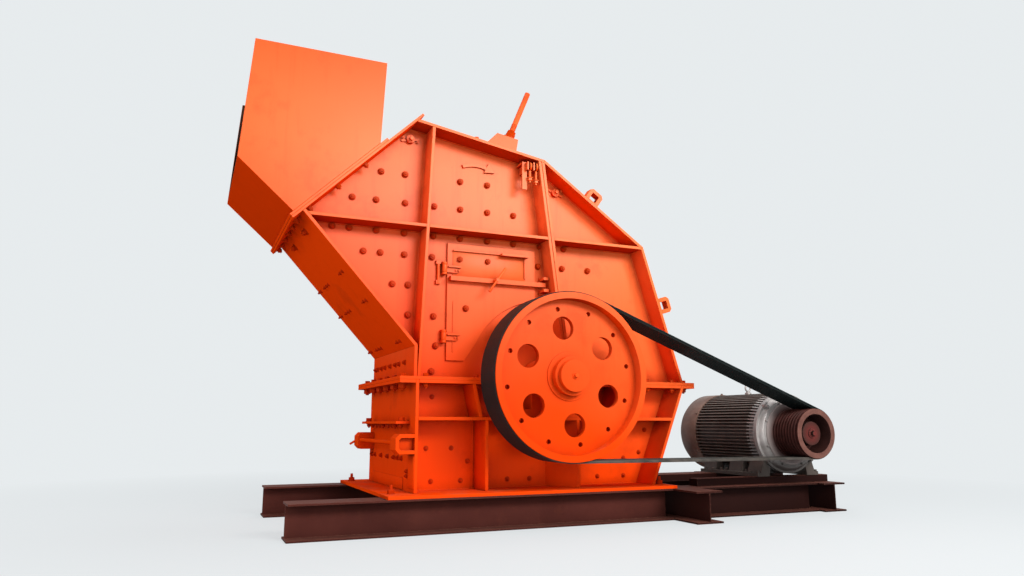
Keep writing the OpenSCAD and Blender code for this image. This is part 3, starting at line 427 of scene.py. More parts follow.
# %% [markdown]
# ## Paint the packed nodes
# The record names a finish for every node. Each node's own slots are refilled with ours. Plates
# that come off a flame cutter have a small broken edge, so a Weld and a Bevel modifier soften the
# corners: the node's own mesh is left alone, and the light catches every edge.

# %% Paint and soften
EDGE, FINE_EDGE, CRISP = 0.0022, 0.0012, 0.0
edge_of = dict.fromkeys(("door_fittings", "inspection_door", "door_clamp_bar"), FINE_EDGE)
edge_of.update(dict.fromkeys(("motor_frame", "drive_belts"), CRISP))
edge_of.update({name: CRISP for name in nodes if name.startswith("front_wall")})
for part in frame["record"]["subparts"]:
    thing = nodes[part["node"]]
    thing.data.materials.clear()
    thing.data.materials.append(node_looks.get(part["node"], looks[part["material_slot"]]))
    width = edge_of.get(part["node"], EDGE)
    if width:
        weld = thing.modifiers.new("weld", "WELD")
        weld.merge_threshold = 0.00002
        bevel = thing.modifiers.new("edge", "BEVEL")
        bevel.width = width
        bevel.segments = 2
        bevel.limit_method = "ANGLE"
        bevel.angle_limit = math.radians(38)
        bevel.harden_normals = True

# %% [markdown]
# ## Tools for the added pieces
# Everything from here on is a small piece that a fitter or welder adds. Each is built with mesh
# operators in its final place, so its object stays at the origin and any pattern on it holds
# still. `facing` stands a shape on a spot, `stack` builds turned shapes from tapered rounds,
# `slab` adds a plate, `rod` a straight bar and `hoop` a ring of bar. `keep` turns a mesh's faces
# outwards, smooths it by angle, gives it a finish and lets it ride on a body.

# %% Shape helpers
FRONT, REAR = Vector((0, -1, 0)), Vector((0, 1, 0))
FEED, BACK = Vector((-1, 0, 0)), Vector((1, 0, 0))
DOWN, UP = Vector((0, 0, -1)), Vector((0, 0, 1))
WHOLE_TURN = 2 * math.pi


def facing(spot, out, spin=0.0):
    """A matrix that stands a shape, built along its own Z, on a spot and turned outwards."""
    turn = Vector(out).to_track_quat("Z", "Y").to_matrix().to_4x4()
    return Matrix.Translation(spot) @ turn @ Matrix.Rotation(spin, 4, "Z")


def stack(bm, at, *rounds):
    """Adds tapered rounds along a matrix's Z: low, high, foot radius, top radius, sides."""
    for low, high, foot, top, sides in rounds:
        bmesh.ops.create_cone(
            bm, cap_ends=True, segments=sides, radius1=foot * MM, radius2=top * MM,
            depth=(high - low) * MM, matrix=at @ Matrix.Translation((0, 0, (low + high) / 2 * MM)))


def slab(bm, at, size):
    """Adds a plate of a size in millimetres, standing on the matrix's spot."""
    scale = Matrix.Diagonal((size[0] * MM, size[1] * MM, size[2] * MM, 1))
    middle = at @ Matrix.Translation((0, 0, size[2] / 2 * MM))
    return bmesh.ops.create_cube(bm, size=1, matrix=middle @ scale)["verts"]


def rod(bm, start, end, thick):
    """Adds a straight bar between two points, so many millimetres thick."""
    run = end - start
    stack(bm, facing(start, run), (0, run.length / MM, thick / 2, thick / 2, 12))


def hoop(bm, at, radius, thick, sides, steps):
    """Adds a ring of round bar: a circle beside the matrix's Z is spun once round that Z."""
    beside = at @ Matrix.Translation((radius * MM, 0, 0))
    made = bmesh.ops.create_circle(
        bm, cap_ends=False, segments=sides, radius=thick / 2 * MM,
        matrix=beside @ Matrix.Rotation(math.radians(90), 4, "X"))["verts"]
    edges = list(dict.fromkeys(edge for vert in made for edge in vert.link_edges))
    bmesh.ops.spin(
        bm, geom=made + edges, cent=at.translation, axis=at.to_3x3() @ UP, dvec=(0, 0, 0),
        angle=WHOLE_TURN, steps=steps, use_merge=True)


print("shape helpers:", [made.__name__ for made in (facing, stack, slab, rod, hoop)])

# %% Finishing helpers
def break_edges(bm, width):
    """Rounds every edge that is in the mesh so far."""
    bmesh.ops.bevel(
        bm, geom=list(bm.edges), offset=width * MM, offset_type="OFFSET", affect="EDGES",
        segments=2, profile=0.5, material=-1, clamp_overlap=True)


def keep(bm, name, body, slot, smooth=35, look=None):
    """Makes a bmesh a piece that rides on a body, in its slot's finish or a look of its own."""
    bmesh.ops.recalc_face_normals(bm, faces=bm.faces)
    mesh = bpy.data.meshes.new(name)
    bm.to_mesh(mesh)
    bm.free()
    mesh.materials.append(look or looks[slot])
    mesh.shade_smooth()
    mesh.set_sharp_from_angle(angle=math.radians(smooth))
    piece = bpy.data.objects.new(name, mesh)
    scene.collection.objects.link(piece)
    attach(piece, body)
    print(name, "on", body, "faces", len(mesh.polygons))


print("slots for pieces:", sorted(looks))

# %% [markdown]
# ## Liner nuts
# Wear plates line the inside of the housing, and each hangs on bolts whose nuts show outside in
# rows. One nut is a washer, a hexagon with a broken top and the end of its stud. There are more
# than a hundred, so a nut has only a few dozen faces, and each is turned a little differently.

# %% Liner nuts on the side walls
SUNK = -0.5
WALL = 380
LOW_NUT, LOW_STUD = 19, 5
upper_rows = {
    2222: (-1107, -948, -568, -373),
    2030: (-1286, -1133, -943, -747, -565, -371, -179),
    1830: (-1404, -1298, -1127, -945, -750, -565, -371, -180, 22, 206),
    1688: (-1204, -1096, -940, -755, 6, 192, 395),
    1492: (-1013, -912), 1300: (-908, -738), 1112: (-720,), 948: (-745,)}
lower_rows = {
    789: (-737,), 580: (833,), 472: (-769, -604), 427: (780,), 390: (-495, 655),
    272: (-735, -540, -220, -63, 446, 651)}
rows_behind_door = {
    1688: (-565, -371, -180), 1492: (-565, -371, 192, 395), 1300: (-565, 560, 740), 1112: (740,)}


def hexagon_corner(across):
    return across / 2 / math.cos(math.radians(30))


def nut(bm, at, across=32.0, stud=7.0):
    """Adds a washer, a hexagon with a broken top and the end of its stud."""
    corner, washer, chamfer = hexagon_corner(across), 4, 3
    top = washer + 0.62 * across
    stack(bm, at, (SUNK, washer, corner + 5, corner + 4, 14),
          (washer, top - chamfer, corner, corner, 6),
          (top - chamfer, top, corner, corner * 0.87, 6),
          (top, top + stud, across * 0.29, across * 0.25, 10))


def nuts(bm, spots, out, across=32.0, stud=7.0):
    for count, spot in enumerate(spots):
        nut(bm, facing(spot, out, count * 0.7), across, stud)


def wall_spots(rows, y):
    """The spots of rows, which are lists of X by their height, on a wall at Y."""
    return [place(x, y, z) for z, row in rows.items() for x in row]


for name, y, out, more_rows in (
        ("front_liner_nuts", -WALL, FRONT, {}), ("rear_liner_nuts", WALL, REAR, rows_behind_door)):
    bm = bmesh.new()
    nuts(bm, wall_spots(upper_rows, y) + wall_spots(more_rows, y), out)
    nuts(bm, wall_spots(lower_rows, y), out, LOW_NUT, LOW_STUD)
    keep(bm, name, "frame", "housing_paint", look=shaded_nut_paint)

# %% Liner nuts on the door
DOOR_FACE = 398
door_rows = {1684: (-571,), 1686: (-374,), 1362: (-524,)}
bm = bmesh.new()
nuts(bm, wall_spots(door_rows, -DOOR_FACE), FRONT)
keep(bm, "door_liner_nuts", "door", "housing_paint", look=shaded_nut_paint)

# %% [markdown]
# ## Nuts on the sloping plates
# The throat floor, the roof and the back slopes carry liners too. A row on a slope is easiest
# in the slope's own terms, so many millimetres along and so far to each side, and the slope's
# two end points turn that into a spot and a direction out of the housing. Below the throat the
# bolts stand in small groups, so each row there has its own list of places.

# %% Slope rows
FEED_WALL, BASE_TOP = -899, 220
corners = {
    "feed_foot": (FEED_WALL, 1092), "mouth": (-1601, 1868), "apex": (FEED_WALL, 2558),
    "crest": (-4, 2410), "shoulder": (772, 1868), "tail": (1080, 885),
    "base_back": (775, BASE_TOP), "split_back": (1045, 885)}


def corner_at(name):
    x, z = corners[name]
    return place(x, 0, z)


def slope(start, end):
    """A slope's first corner, the way to its second, and the way to its left from the drive."""
    foot = corner_at(start)
    along = (corner_at(end) - foot).normalized()
    return foot, along, Vector((-along.z, 0, along.x))


def slope_spots(start, end, marks, across):
    """Spots at marks along a slope and places across it, and the way to the slope's left."""
    foot, along, out = slope(start, end)
    return [foot + along * d * MM + Vector((0, y * MM, 0)) for d in marks for y in across], out


SMALL_GROUP, EVEN_ROW = (-340, -270, 150, 220, 290, 440, 500), (-270, -90, 90, 270)
slope_rows = [("mouth", "feed_foot", -1, (mark,), SMALL_GROUP, 15, 5) for mark in (420, 650, 985)]
slope_rows += [
    ("mouth", "feed_foot", -1, (85,), (-275, 190), 34, 10),
    ("crest", "shoulder", 1, (160, 420, 640), EVEN_ROW, 32, 7),
    ("shoulder", "tail", 1, (170, 430, 690, 930), EVEN_ROW, 32, 7),
    ("apex", "crest", 1, (180, 620), EVEN_ROW, 32, 7),
    ("base_back", "split_back", -1, (150, 420, 600), (-440, -150, 150, 440), 25, 5)]
bm = bmesh.new()
for start, end, sign, marks, row, across, stud in slope_rows:
    spots, out = slope_spots(start, end, marks, row)
    nuts(bm, spots, sign * out, across, stud)
keep(bm, "slope_liner_nuts", "frame", "housing_paint", look=shaded_nut_paint)

# %% [markdown]
# ## Flange bolts
# Chute and housing meet at a pair of flanges, the two halves of the housing at another, and the
# base plate is held down to the skid at its corners. A flange bolt is a hexagon head on one side
# and a nut with its stud on the other, so each row is made twice, once for each side.

# %% Chute flange bolts
def head(bm, at, across=30.0):
    """Adds a washer and a bolt's hexagon head."""
    corner, washer = hexagon_corner(across), 3
    shoulder, top = washer + across * 0.52, washer + across * 0.62
    stack(bm, at, (SUNK, washer, corner + 4, corner + 4, 14), (washer, shoulder, corner, corner, 6),
          (shoulder, top, corner, corner * 0.86, 6))


def bolt_row(bm, spots, out, grip, across=30.0, nut_across=None):
    """Adds heads on spots that look outwards, and their nuts on the far side of the grip."""
    for count, spot in enumerate(spots):
        head(bm, facing(spot, out, count * 0.9), across)
        nut(bm, facing(spot - out * grip * MM, -out, count * 0.5), nut_across or across, 9)


CHUTE_GRIP = 32.3
side_marks, low_row = range(60, 640, 230), (-395, -220, -45, 132, 310, 470)
bm = bmesh.new()
for marks, row in ((side_marks, (-455,)), (side_marks, (455,)), ((-36,), low_row)):
    spots, out = slope_spots("mouth", "apex", marks, row)
    bolt_row(bm, [spot + out * CHUTE_GRIP * MM for spot in spots], out, CHUTE_GRIP)
keep(bm, "chute_flange_bolts", "frame", "housing_paint", look=shaded_nut_paint)

# %% Split flange bolts
SPLIT_TOP, SPLIT_GRIP = 905, 40
bm = bmesh.new()
for side in (-1, 1):
    spots = [place(x, side * 545, SPLIT_TOP) for x in (-830, -500, -330, 330, 520, 760, 960)]
    bolt_row(bm, spots, UP, SPLIT_GRIP, 28)
spots = [place(-955, y, SPLIT_TOP) for y in (-475, -285, -95, 95, 285, 475)]
bolt_row(bm, spots, UP, SPLIT_GRIP, 30, 44)
bolt_row(bm, [place(1108, y, SPLIT_TOP) for y in range(-480, 481, 160)], UP, SPLIT_GRIP)
keep(bm, "split_flange_bolts", "frame", "housing_paint", look=shaded_nut_paint)

# %% Base bolts
bm = bmesh.new()
for side in (-1, 1):
    for x in (-1029, 825):
        nut(bm, facing(place(x, side * 556, BASE_TOP), UP, x * 0.01), 36, 26)
keep(bm, "base_bolts", "frame", "housing_paint", look=shaded_nut_paint)

# %% [markdown]
# ## Feed wall fastenings
# The feed wall is the one that faces the oncoming rock, so it is lined as well. Small bolts run
# across it above the flange and below the bracket, heavier ones hang under the ledge, and a patch
# plate is welded at its front corner. Rows of small heads keep the scale of the wall readable.

# %% Feed wall bolts
LEDGE_X, LEDGE_TOP, LEDGE_LOW = -945, 638, 622
over_flange = (450, 391, 279, 172, 34, -98, -192, -328)
below_bracket = (480, 396, 213, 40, -121, -214, -303)
under_ledge = (429, 315, 202, 110, 25, -126, -205, -283, -420)
bm = bmesh.new()
nuts(bm, [place(FEED_WALL, y, 1004) for y in over_flange], FEED, 22, 5)
nuts(bm, [place(FEED_WALL, y, 411) for y in below_bracket], FEED, 22, 5)
nuts(bm, [place(FEED_WALL, -438, z) for z in (340, 312)], FEED, 20, 5)
nuts(bm, [place(LEDGE_X, y, LEDGE_LOW) for y in under_ledge], DOWN, 26, 8)
for y, spin in ((-440, 0.0), (440, 0.4)):
    head(bm, facing(place(LEDGE_X, y, LEDGE_TOP), UP, spin), 34)
keep(bm, "feed_wall_bolts", "frame", "housing_paint", look=shaded_nut_paint)

# %% Patch plates and far hook
bm = bmesh.new()
slab(bm, facing(place(FEED_WALL, -512, 340), FEED), (130, 190, 4))
slab(bm, facing(place(FEED_WALL, 60, 260), FEED), (800, 70, 4))
break_edges(bm, 1.5)
rod(bm, place(-1008, 560, 504), place(-1044, 584, 478), 16)
keep(bm, "feed_wall_patches", "frame", "housing_paint")

# %% [markdown]
# ## V-belts
# The packed belt is a plain band. The real drive is a set of V-belts joined by a common back,
# so wedge-shaped ribs run on the inside and drop into the grooves. One wedge profile per belt is
# spun round the big pulley, drawn straight to the small one, spun again and drawn back.

# %% V-belt ribs
BIG, SMALL, RIB_TALL = 517.4, 172.4, 10
PULLEY_FRONT, PULLEY_W, PLAIN_EDGE, BELTS = -905, 235, 10, 8
line = motor_axis - shaft
lean = math.atan2(line.z, line.x)
open_angle = math.acos((BIG - SMALL) * MM / line.length)
first, last = lean + open_angle, lean - open_angle
pitch = (PULLEY_W - 2 * PLAIN_EDGE) / BELTS
wedge_profile = ((BIG, -9), (BIG, 9), (BIG - RIB_TALL, 5.8), (BIG - RIB_TALL, -5.8))


def rim_point(axis, radius, angle, y):
    turned = Vector((math.cos(angle), 0, math.sin(angle)))
    return Vector((axis.x, y * MM, axis.z)) + turned * radius * MM


def drawn(bm, geom, centre, angle, steps, run=Vector((0, 0, 0))):
    """Spins the wedges round a centre, or draws them along a run where the angle is 0."""
    return bmesh.ops.spin(
        bm, geom=geom, cent=centre, axis=FRONT, dvec=run / steps, angle=angle,
        steps=steps)["geom_last"]


bm = bmesh.new()
for belt in range(BELTS):
    middle = PULLEY_FRONT + PLAIN_EDGE + pitch * (belt + 0.5)
    wedge = [bm.verts.new(rim_point(shaft, r, first, middle + w)) for r, w in wedge_profile]
    for one, two in zip(wedge, wedge[1:] + wedge[:1]):
        bm.edges.new((one, two))
lower_run = rim_point(motor_axis, SMALL, last, 0) - rim_point(shaft, BIG, last, 0)
upper_run = rim_point(shaft, BIG, first, 0) - rim_point(motor_axis, SMALL, first, 0)
geom = list(bm.verts) + list(bm.edges)
geom = drawn(bm, geom, shaft, WHOLE_TURN - 2 * open_angle, 40)
geom = drawn(bm, geom, shaft, 0, 6, lower_run)
geom = drawn(bm, geom, motor_axis, 2 * open_angle, 24)
drawn(bm, geom, shaft, 0, 6, upper_run)
bmesh.ops.remove_doubles(bm, verts=bm.verts, dist=0.0004)
keep(bm, "v_belt_ribs", "frame", "belt_rubber", 25)

# %% [markdown]
# ## Door fittings
# The door is a flame-cut plate. A lighter cover plate is screwed over its upper half, with an
# angle bent along its top and free edge to shed dust, and two straps carry it on the hinges.
# The cover plate and its straps swing with the door, so they ride on the door's body; the hinge rod beside the
# door stays on the frame.

# %% Cover plate and straps on the door
HINGE_HEIGHTS = (1172, 1615)
bm = bmesh.new()
slab(bm, facing(place(-359, -DOOR_FACE, 1656), FRONT), (516, 176, 4))
break_edges(bm, 1.6)
slab(bm, facing(place(-359, -DOOR_FACE - 3, 1741), FRONT), (520, 7, 16))
slab(bm, facing(place(-188, -DOOR_FACE - 3, 1736), FRONT), (196, 15, 48))
slab(bm, facing(place(-104, -DOOR_FACE - 3, 1664), FRONT), (7, 150, 12))
slab(bm, facing(place(-610, -DOOR_FACE, 1240), FRONT), (7, 330, 5))
for z in HINGE_HEIGHTS:
    slab(bm, facing(place(-612, -DOOR_FACE - 12, z + 12), FRONT), (88, 9, 24))
    for x in (-600, -582):
        head(bm, facing(place(x, -DOOR_FACE - 18, z - 9), FRONT, x), 12)
keep(bm, "door_cover_plate", "door", "housing_paint")

# %% Hinge rod beside the door
ROD_X = -714
bm = bmesh.new()
rod(bm, place(ROD_X, -396, 1642), place(ROD_X, -396, 1512), 18)
for z in (1524, 1655):
    slab(bm, facing(place(ROD_X, -WALL, z), FRONT), (30, 24, 22))
keep(bm, "door_hinge_rod", "frame", "housing_paint")

# %% [markdown]
# ## Marks and covers on the side walls
# A plain curved arrow, cut from plate and welded on, shows which way the rotor turns. The ends of
# the apron shafts are closed by a washer and a bolt, with a short locking bar beside each. The
# arrow is a flat strip spun round a centre, and a three-sided prism makes its point.

# %% Turning arrow
arrow_mid = place(-458, -WALL, 2118)
tail, tip = math.radians(114), math.radians(66)
ARROW_IN, ARROW_OUT, ARROW_THICK = 222, 246, 14
arrow_profile = (
    (ARROW_IN, SUNK), (ARROW_OUT, SUNK), (ARROW_OUT, ARROW_THICK), (ARROW_IN, ARROW_THICK))


def arrow_point(radius, angle, out):
    """A point so far from the arrow's middle, at an angle, and so far out of the wall."""
    turned = Vector((math.cos(angle), 0, math.sin(angle)))
    return arrow_mid + turned * radius * MM + FRONT * out * MM


bm = bmesh.new()
bm.faces.new([bm.verts.new(arrow_point(radius, tail, out)) for radius, out in arrow_profile])
geom = list(bm.verts) + list(bm.edges) + list(bm.faces)
bmesh.ops.spin(
    bm, geom=geom, cent=arrow_mid, axis=REAR, dvec=(0, 0, 0), angle=tail - tip, steps=12)
point_at = arrow_point((ARROW_IN + ARROW_OUT) / 2, tip, 0)
stack(bm, facing(point_at, FRONT, math.radians(-116)), (SUNK, 17, 44, 44, 3))
keep(bm, "turning_arrow", "frame", "housing_paint")

# %% Apron shaft covers
BOSS, BAR_THICK, SCREW_REACH = 26, 12, 50
bm = bmesh.new()
for x, z, lean in ((-920, 2462, 0.18), (140, 2231, -0.35)):
    for side, out in ((-1, FRONT), (1, REAR)):
        face = place(x, side * (WALL + BOSS), z)
        stack(bm, facing(face, out), (SUNK, 5, 24, 22, 20))
        head(bm, facing(face + out * 0.005, out, x), 24)
        slab(bm, facing(place(x, side * WALL, z), out, lean * -side), (124, 16, BAR_THICK))
        for reach in (-SCREW_REACH, SCREW_REACH):
            spot = place(x + reach * math.cos(lean), side * (WALL + BAR_THICK),
                         z - reach * math.sin(lean))
            head(bm, facing(spot, out, reach / SCREW_REACH), 9)
keep(bm, "apron_shaft_covers", "frame", "housing_paint")

# %% [markdown]
# ## Swing bolts and strap at the split
# The rear half of the upper housing folds back for work on the rotor. Beside the split two swing
# bolts hook over the roof edge, and a strap hangs beside them. Each bolt's eye is a circle of bar
# spun through a whole turn, with a straight shank and a nut below it.

# %% Swing bolts
EYE_R = 24
bm = bmesh.new()
for side, out in ((-1, FRONT), (1, REAR)):
    slab(bm, facing(place(-138, side * (WALL + 96), 2294), out), (34, 196, 10))
    slab(bm, facing(place(-138, side * (WALL - 1), 2385), out), (34, 14, 100))
    for x, drop in ((-104, 58), (-58, 72)):
        eye = place(x, side * (WALL + 118), 2356)
        hoop(bm, facing(eye, BACK), EYE_R, 15, 8, 16)
        end = eye + DOWN * (20 + drop) * MM
        rod(bm, eye + DOWN * 20 * MM, end, 17)
        nut(bm, facing(end, DOWN, x), 30, 12)
        rod(bm, eye + FEED * EYE_R * MM, eye + BACK * EYE_R * MM, 16)
    for x, tall in ((-81, 56), (-36, 46), (-126, 56)):
        slab(bm, facing(place(x, side * (WALL - 1), 2356), out), (10, tall, 141))
keep(bm, "swing_bolts", "frame", "housing_paint")

# %% [markdown]
# ## Adjusting rods
# The aprons are drawn up by threaded rods on the roof. A heavy nut sits on each screw box, a lock
# nut above it, and the thread that was cleaned for them is a row of fine rings, because at this
# size a true helix and rings look alike and rings cost fewer faces.

# %% Nuts and thread on the rods
THREAD, CREST = 19, 20.6
roof_foot, roof_along, roof_out = slope("crest", "apex")
bm = bmesh.new()
for side, lean in ((-1, 22), (1, 0)):
    foot = roof_foot + roof_along * 213 * MM - roof_out * 160 * MM + REAR * side * 320 * MM
    axis = Vector((math.sin(math.radians(lean)), 0, math.cos(math.radians(lean))))
    at = facing(foot, axis, 0.4)
    stack(bm, at, (0, 12, 46, 46, 20), (8, 44, 36, 36, 6), (44, 64, 33, 33, 6))
    for low in range(70, 130, 10):
        stack(bm, at, (low, low + 3, THREAD, CREST, 12), (low + 3, low + 6, CREST, THREAD, 12))
keep(bm, "adjuster_nuts", "frame", "housing_paint", look=shaded_nut_paint)

# %% [markdown]
# ## Pulley ends
# The drive pulley is drawn onto its shaft by a cap and one small bolt. The small pulley is held
# by a turned bush round its hub, with a washer and a bolt in the shaft's end. Both turn, so each
# rides on its own rotor.

# %% Drive pulley bolt
bm = bmesh.new()
cap_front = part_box("drive_pulley")[0][1]
cap = facing(Vector((shaft.x, cap_front, shaft.z)), FRONT, 0.3)
stack(bm, cap, (SUNK, 4, 24, 22, 32))
head(bm, cap @ Matrix.Translation((0, 0, 0.004)), 24)
keep(bm, "drive_pulley_bolt", "rotor", "housing_paint")

# %% Small pulley cap
bm = bmesh.new()
rim_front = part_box("motor_pulley")[0][1]
bush = facing(Vector((motor_axis.x, rim_front, motor_axis.z)), FRONT)
stack(bm, bush, (-150, -48, 84, 84, 48), (-48, -44, 84, 80, 48), (-44.5, -38, 34, 32, 32))
head(bm, bush @ Matrix.Translation((0, 0, -0.038)), 34)
keep(bm, "motor_pulley_cap", "motor_rotor", "motor_pulley_paint")

# %% [markdown]
# ## Motor castings
# The frame's fins run out into a ring of short fins on the end bell, bolted up through four ears.
# An eye bolt on top is for lifting. The terminal box has a lid with screws and a cable gland, and
# the far end of the cowl is a grille of rings over the fan. Rings and ribs are spun or turned in
# a circle from one small profile each.

# %% Bell fins and ears
FINS, FIN_FOOT, FIN_TAPER = 72, 0.268, 0.010
bell_from = -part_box("motor_frame")[0][1] / MM
bell_to = -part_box("motor_end_bell")[0][1] / MM


def round_motor(radius, degrees, y):
    """A point round the motor's axis, in metres."""
    turned = Vector((math.cos(math.radians(degrees)), 0, math.sin(math.radians(degrees))))
    return Vector((motor_axis.x, y, motor_axis.z)) + turned * radius


bm = bmesh.new()
fin_ring = Matrix.Translation((motor_axis.x, -(bell_from + 31) * MM, motor_axis.z))
for count in range(FINS):
    turn = fin_ring @ Matrix.Rotation(WHOLE_TURN * count / FINS, 4, "Y")
    for vert in slab(bm, turn @ Matrix.Translation((0, 0, FIN_FOOT)), (8, 64, 26)):
        reach = vert.co - motor_axis
        reach.y = 0
        if vert.co.y < fin_ring.translation.y and reach.length > 0.285:
            vert.co -= reach.normalized() * FIN_TAPER
for count in range(4):
    spot = round_motor(0.272, 45 + 90 * count, -(bell_to - 34) * MM)
    stack(bm, facing(spot, FRONT), (-8, 16, 24, 21, 16))
    head(bm, facing(spot + FRONT * 0.016, FRONT, count), 24)
for count in range(8):
    head(bm, facing(round_motor(0.236, 22.5 + 45 * count, -bell_to * MM), FRONT, count), 13)
keep(bm, "motor_bell_fins", "frame", "motor_bell")

# %% Eye bolt
MOTOR_R = 295
bm = bmesh.new()
crown = Vector((motor_axis.x, -0.229, motor_axis.z + MOTOR_R * MM))
stack(bm, facing(crown, UP), (-14, 12, 26, 24, 18), (12, 24, 17, 12, 14))
hoop(bm, facing(crown + UP * 0.046, FRONT), 24, 13, 10, 24)
keep(bm, "motor_eye_bolt", "frame", "motor_bell")

# %% Terminal lid and feet bolts
MOTOR_X, FOOT_TOP = 1909, 274
bm = bmesh.new()
low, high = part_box("motor_terminal_box")
middle = Vector((high[0], (low[1] + high[1]) / 2, (low[2] + high[2]) / 2))
slab(bm, facing(middle, BACK), (238, 208, 10))
break_edges(bm, 2.5)
for y in (-102, 102):
    for z in (-87, 87):
        head(bm, facing(middle + Vector((0.010, y * MM, z * MM)), BACK, y), 11)
gland = facing(Vector((high[0] - 0.05, middle.y, low[2])), DOWN)
stack(bm, gland, (-2, 10, 26, 26, 20), (10, 30, 22, 22, 6), (30, 44, 17, 15, 16))
for side in (-1, 1):
    for y in (-600, -520, -100, -10):
        head(bm, facing(place(MOTOR_X + side * 270, y, FOOT_TOP), UP, y), 18)
    for y in (-434, -215, -150):
        head(bm, facing(place(MOTOR_X + side * 230, y, FOOT_TOP), UP, y), 24)
keep(bm, "motor_fittings", "frame", "motor_grey")

# %% Cowl grille
bm = bmesh.new()
cowl_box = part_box("motor_fan_cowl")
grille = facing(Vector((motor_axis.x, cowl_box[1][1], motor_axis.z)), REAR)
for radius in range(36, 226, 27):
    hoop(bm, grille @ Matrix.Translation((0, 0, 0.006)), radius, 7, 6, 40)
for count in range(6):
    spoke = grille @ Matrix.Rotation(math.radians(60 * count), 4, "Z")
    slab(bm, spoke @ Matrix.Translation((0.118, 0, 0)), (200, 10, 12))
stack(bm, grille, (SUNK, 12, 30, 26, 24))
screws_y = cowl_box[0][1] + 0.02
for count in range(6):
    spot = round_motor(0.2988, 30 + 60 * count, screws_y)
    head(bm, facing(spot, spot - Vector((motor_axis.x, screws_y, motor_axis.z))), 14)
keep(bm, "motor_cowl_grille", "frame", "motor_cowl")

# %% [markdown]
# ## Bearing housings
# The rotor runs in two split plummer blocks on the shelves. Each has a cover ring with bolts
# round the shaft, cap bolts down through its ears and a grease nipple on top.

# %% Bearing covers
BEARING_FACE, BEARING_MID, SHAFT_Z = 570, 485, 910
cover_profile = ((76, SUNK), (118, SUNK), (114, 12), (84, 12), (76, 4))
bm = bmesh.new()
for side, out in ((-1, FRONT), (1, REAR)):
    face = facing(place(0, side * BEARING_FACE, SHAFT_Z), out)
    ring = [bm.verts.new(face @ Vector((r * MM, 0, z * MM))) for r, z in cover_profile]
    loop = [bm.edges.new((one, two)) for one, two in zip(ring, ring[1:] + ring[:1])]
    bmesh.ops.spin(
        bm, geom=ring + loop, cent=face.translation, axis=out, dvec=(0, 0, 0), angle=WHOLE_TURN,
        steps=40, use_merge=True)
    for count in range(6):
        turn = face @ Matrix.Rotation(math.radians(60 * count + 30), 4, "Z")
        head(bm, turn @ Matrix.Translation((0.100, 0, 0.012)), 18)
    middle = side * BEARING_MID
    for x in (-190, 190):
        for y in (-45, 45):
            nut(bm, facing(place(x, middle + y, 713), UP, x + y), 34, 16)
    for x in (-150, 150):
        slab(bm, facing(place(x, middle, 880), UP), (56, 150, 50))
        for y in (-45, 45):
            nut(bm, facing(place(x, middle + y, 930), UP, x + y), 26, 12)
    stack(bm, facing(place(0, middle, 1041), UP), (-4, 6, 11, 11, 6), (6, 16, 7, 5, 10))
keep(bm, "bearing_covers", "frame", "housing_paint")

# %% [markdown]
# ## Weld seams
# Ribs, uprights and shelves are welded to the walls on both sides, with a rough hand-laid bead. A
# bead could be a bump in the paint, but as a form it also catches light and grime. So a small
# hexagon is drawn along each seam by a spin with no turn, and every other ring is swollen. The
# seams at the split flange stop short of the bearings, where the flange is broken.

# %% Weld beads
def bead(bm, start, end):
    """Adds a weld bead along a seam, in steps of about 13 mm."""
    run = end - start
    steps = max(2, round(run.length / 0.013))
    seam = bmesh.new()
    bmesh.ops.create_circle(
        seam, cap_ends=True, segments=6, radius=5.5 * MM, matrix=facing(start, run))
    geom = list(seam.verts) + list(seam.edges) + list(seam.faces)
    bmesh.ops.spin(
        seam, geom=geom, cent=start, axis=run, dvec=run / steps, angle=0, steps=steps)
    along = run.normalized()
    for vert in seam.verts:
        far = (vert.co - start).dot(along)
        side = vert.co - start - along * far
        vert.co += side * 0.16 * math.cos(math.pi * far * steps / run.length)
    laid = bpy.data.meshes.new("bead")
    seam.to_mesh(laid)
    seam.free()
    bm.from_mesh(laid)
    bpy.data.meshes.remove(laid)


PLATE, SEAM_END, FLANGE_BREAK = 20, 0.03, 270
SHELF_TOP, SHELF_LOW, RIB_TOP, RIB_LOW = 663, 643, 1868, 1848
wall_seams = [
    ((-879, SHELF_TOP), (930, SHELF_TOP)), ((-879, SHELF_LOW), (925, SHELF_LOW)),
    ((-879, BASE_TOP), (765, BASE_TOP))]
for z, far in ((SPLIT_TOP, 1040), (SPLIT_TOP - SPLIT_GRIP, 1030)):
    wall_seams += [((FEED_WALL, z), (-FLANGE_BREAK, z)), ((FLANGE_BREAK, z), (far, z))]
wall_seams += [((-1585, RIB_TOP), (760, RIB_TOP)), ((-1570, RIB_LOW), (770, RIB_LOW))]
wall_seams += [((x, BASE_TOP), (x, SHELF_LOW)) for x in (-460, -440)]
wall_seams += [((-867 + edge, SPLIT_TOP), (-799 + edge, 2536)) for edge in (-10, 10)]
wall_seams += [((163.5 + edge, SPLIT_TOP), (-29 + edge, 2388)) for edge in (-22, 22)]
slope_seams = (
    ("crest", "apex", 1), ("crest", "shoulder", -1), ("shoulder", "tail", -1),
    ("mouth", "feed_foot", 1))
for side, name in ((-1, "front_weld_seams"), (1, "rear_weld_seams")):
    bm = bmesh.new()
    for (x0, z0), (x1, z1) in wall_seams:
        bead(bm, place(x0, side * WALL, z0), place(x1, side * WALL, z1))
    for start, end, inward in slope_seams:
        foot, along, out = slope(start, end)
        length = (corner_at(end) - foot).length
        wall = Vector((0, side * WALL * MM, 0)) + out * inward * PLATE * MM
        bead(bm, foot + along * SEAM_END + wall, foot + along * (length - SEAM_END) + wall)
    keep(bm, name, "frame", "housing_paint", 60)

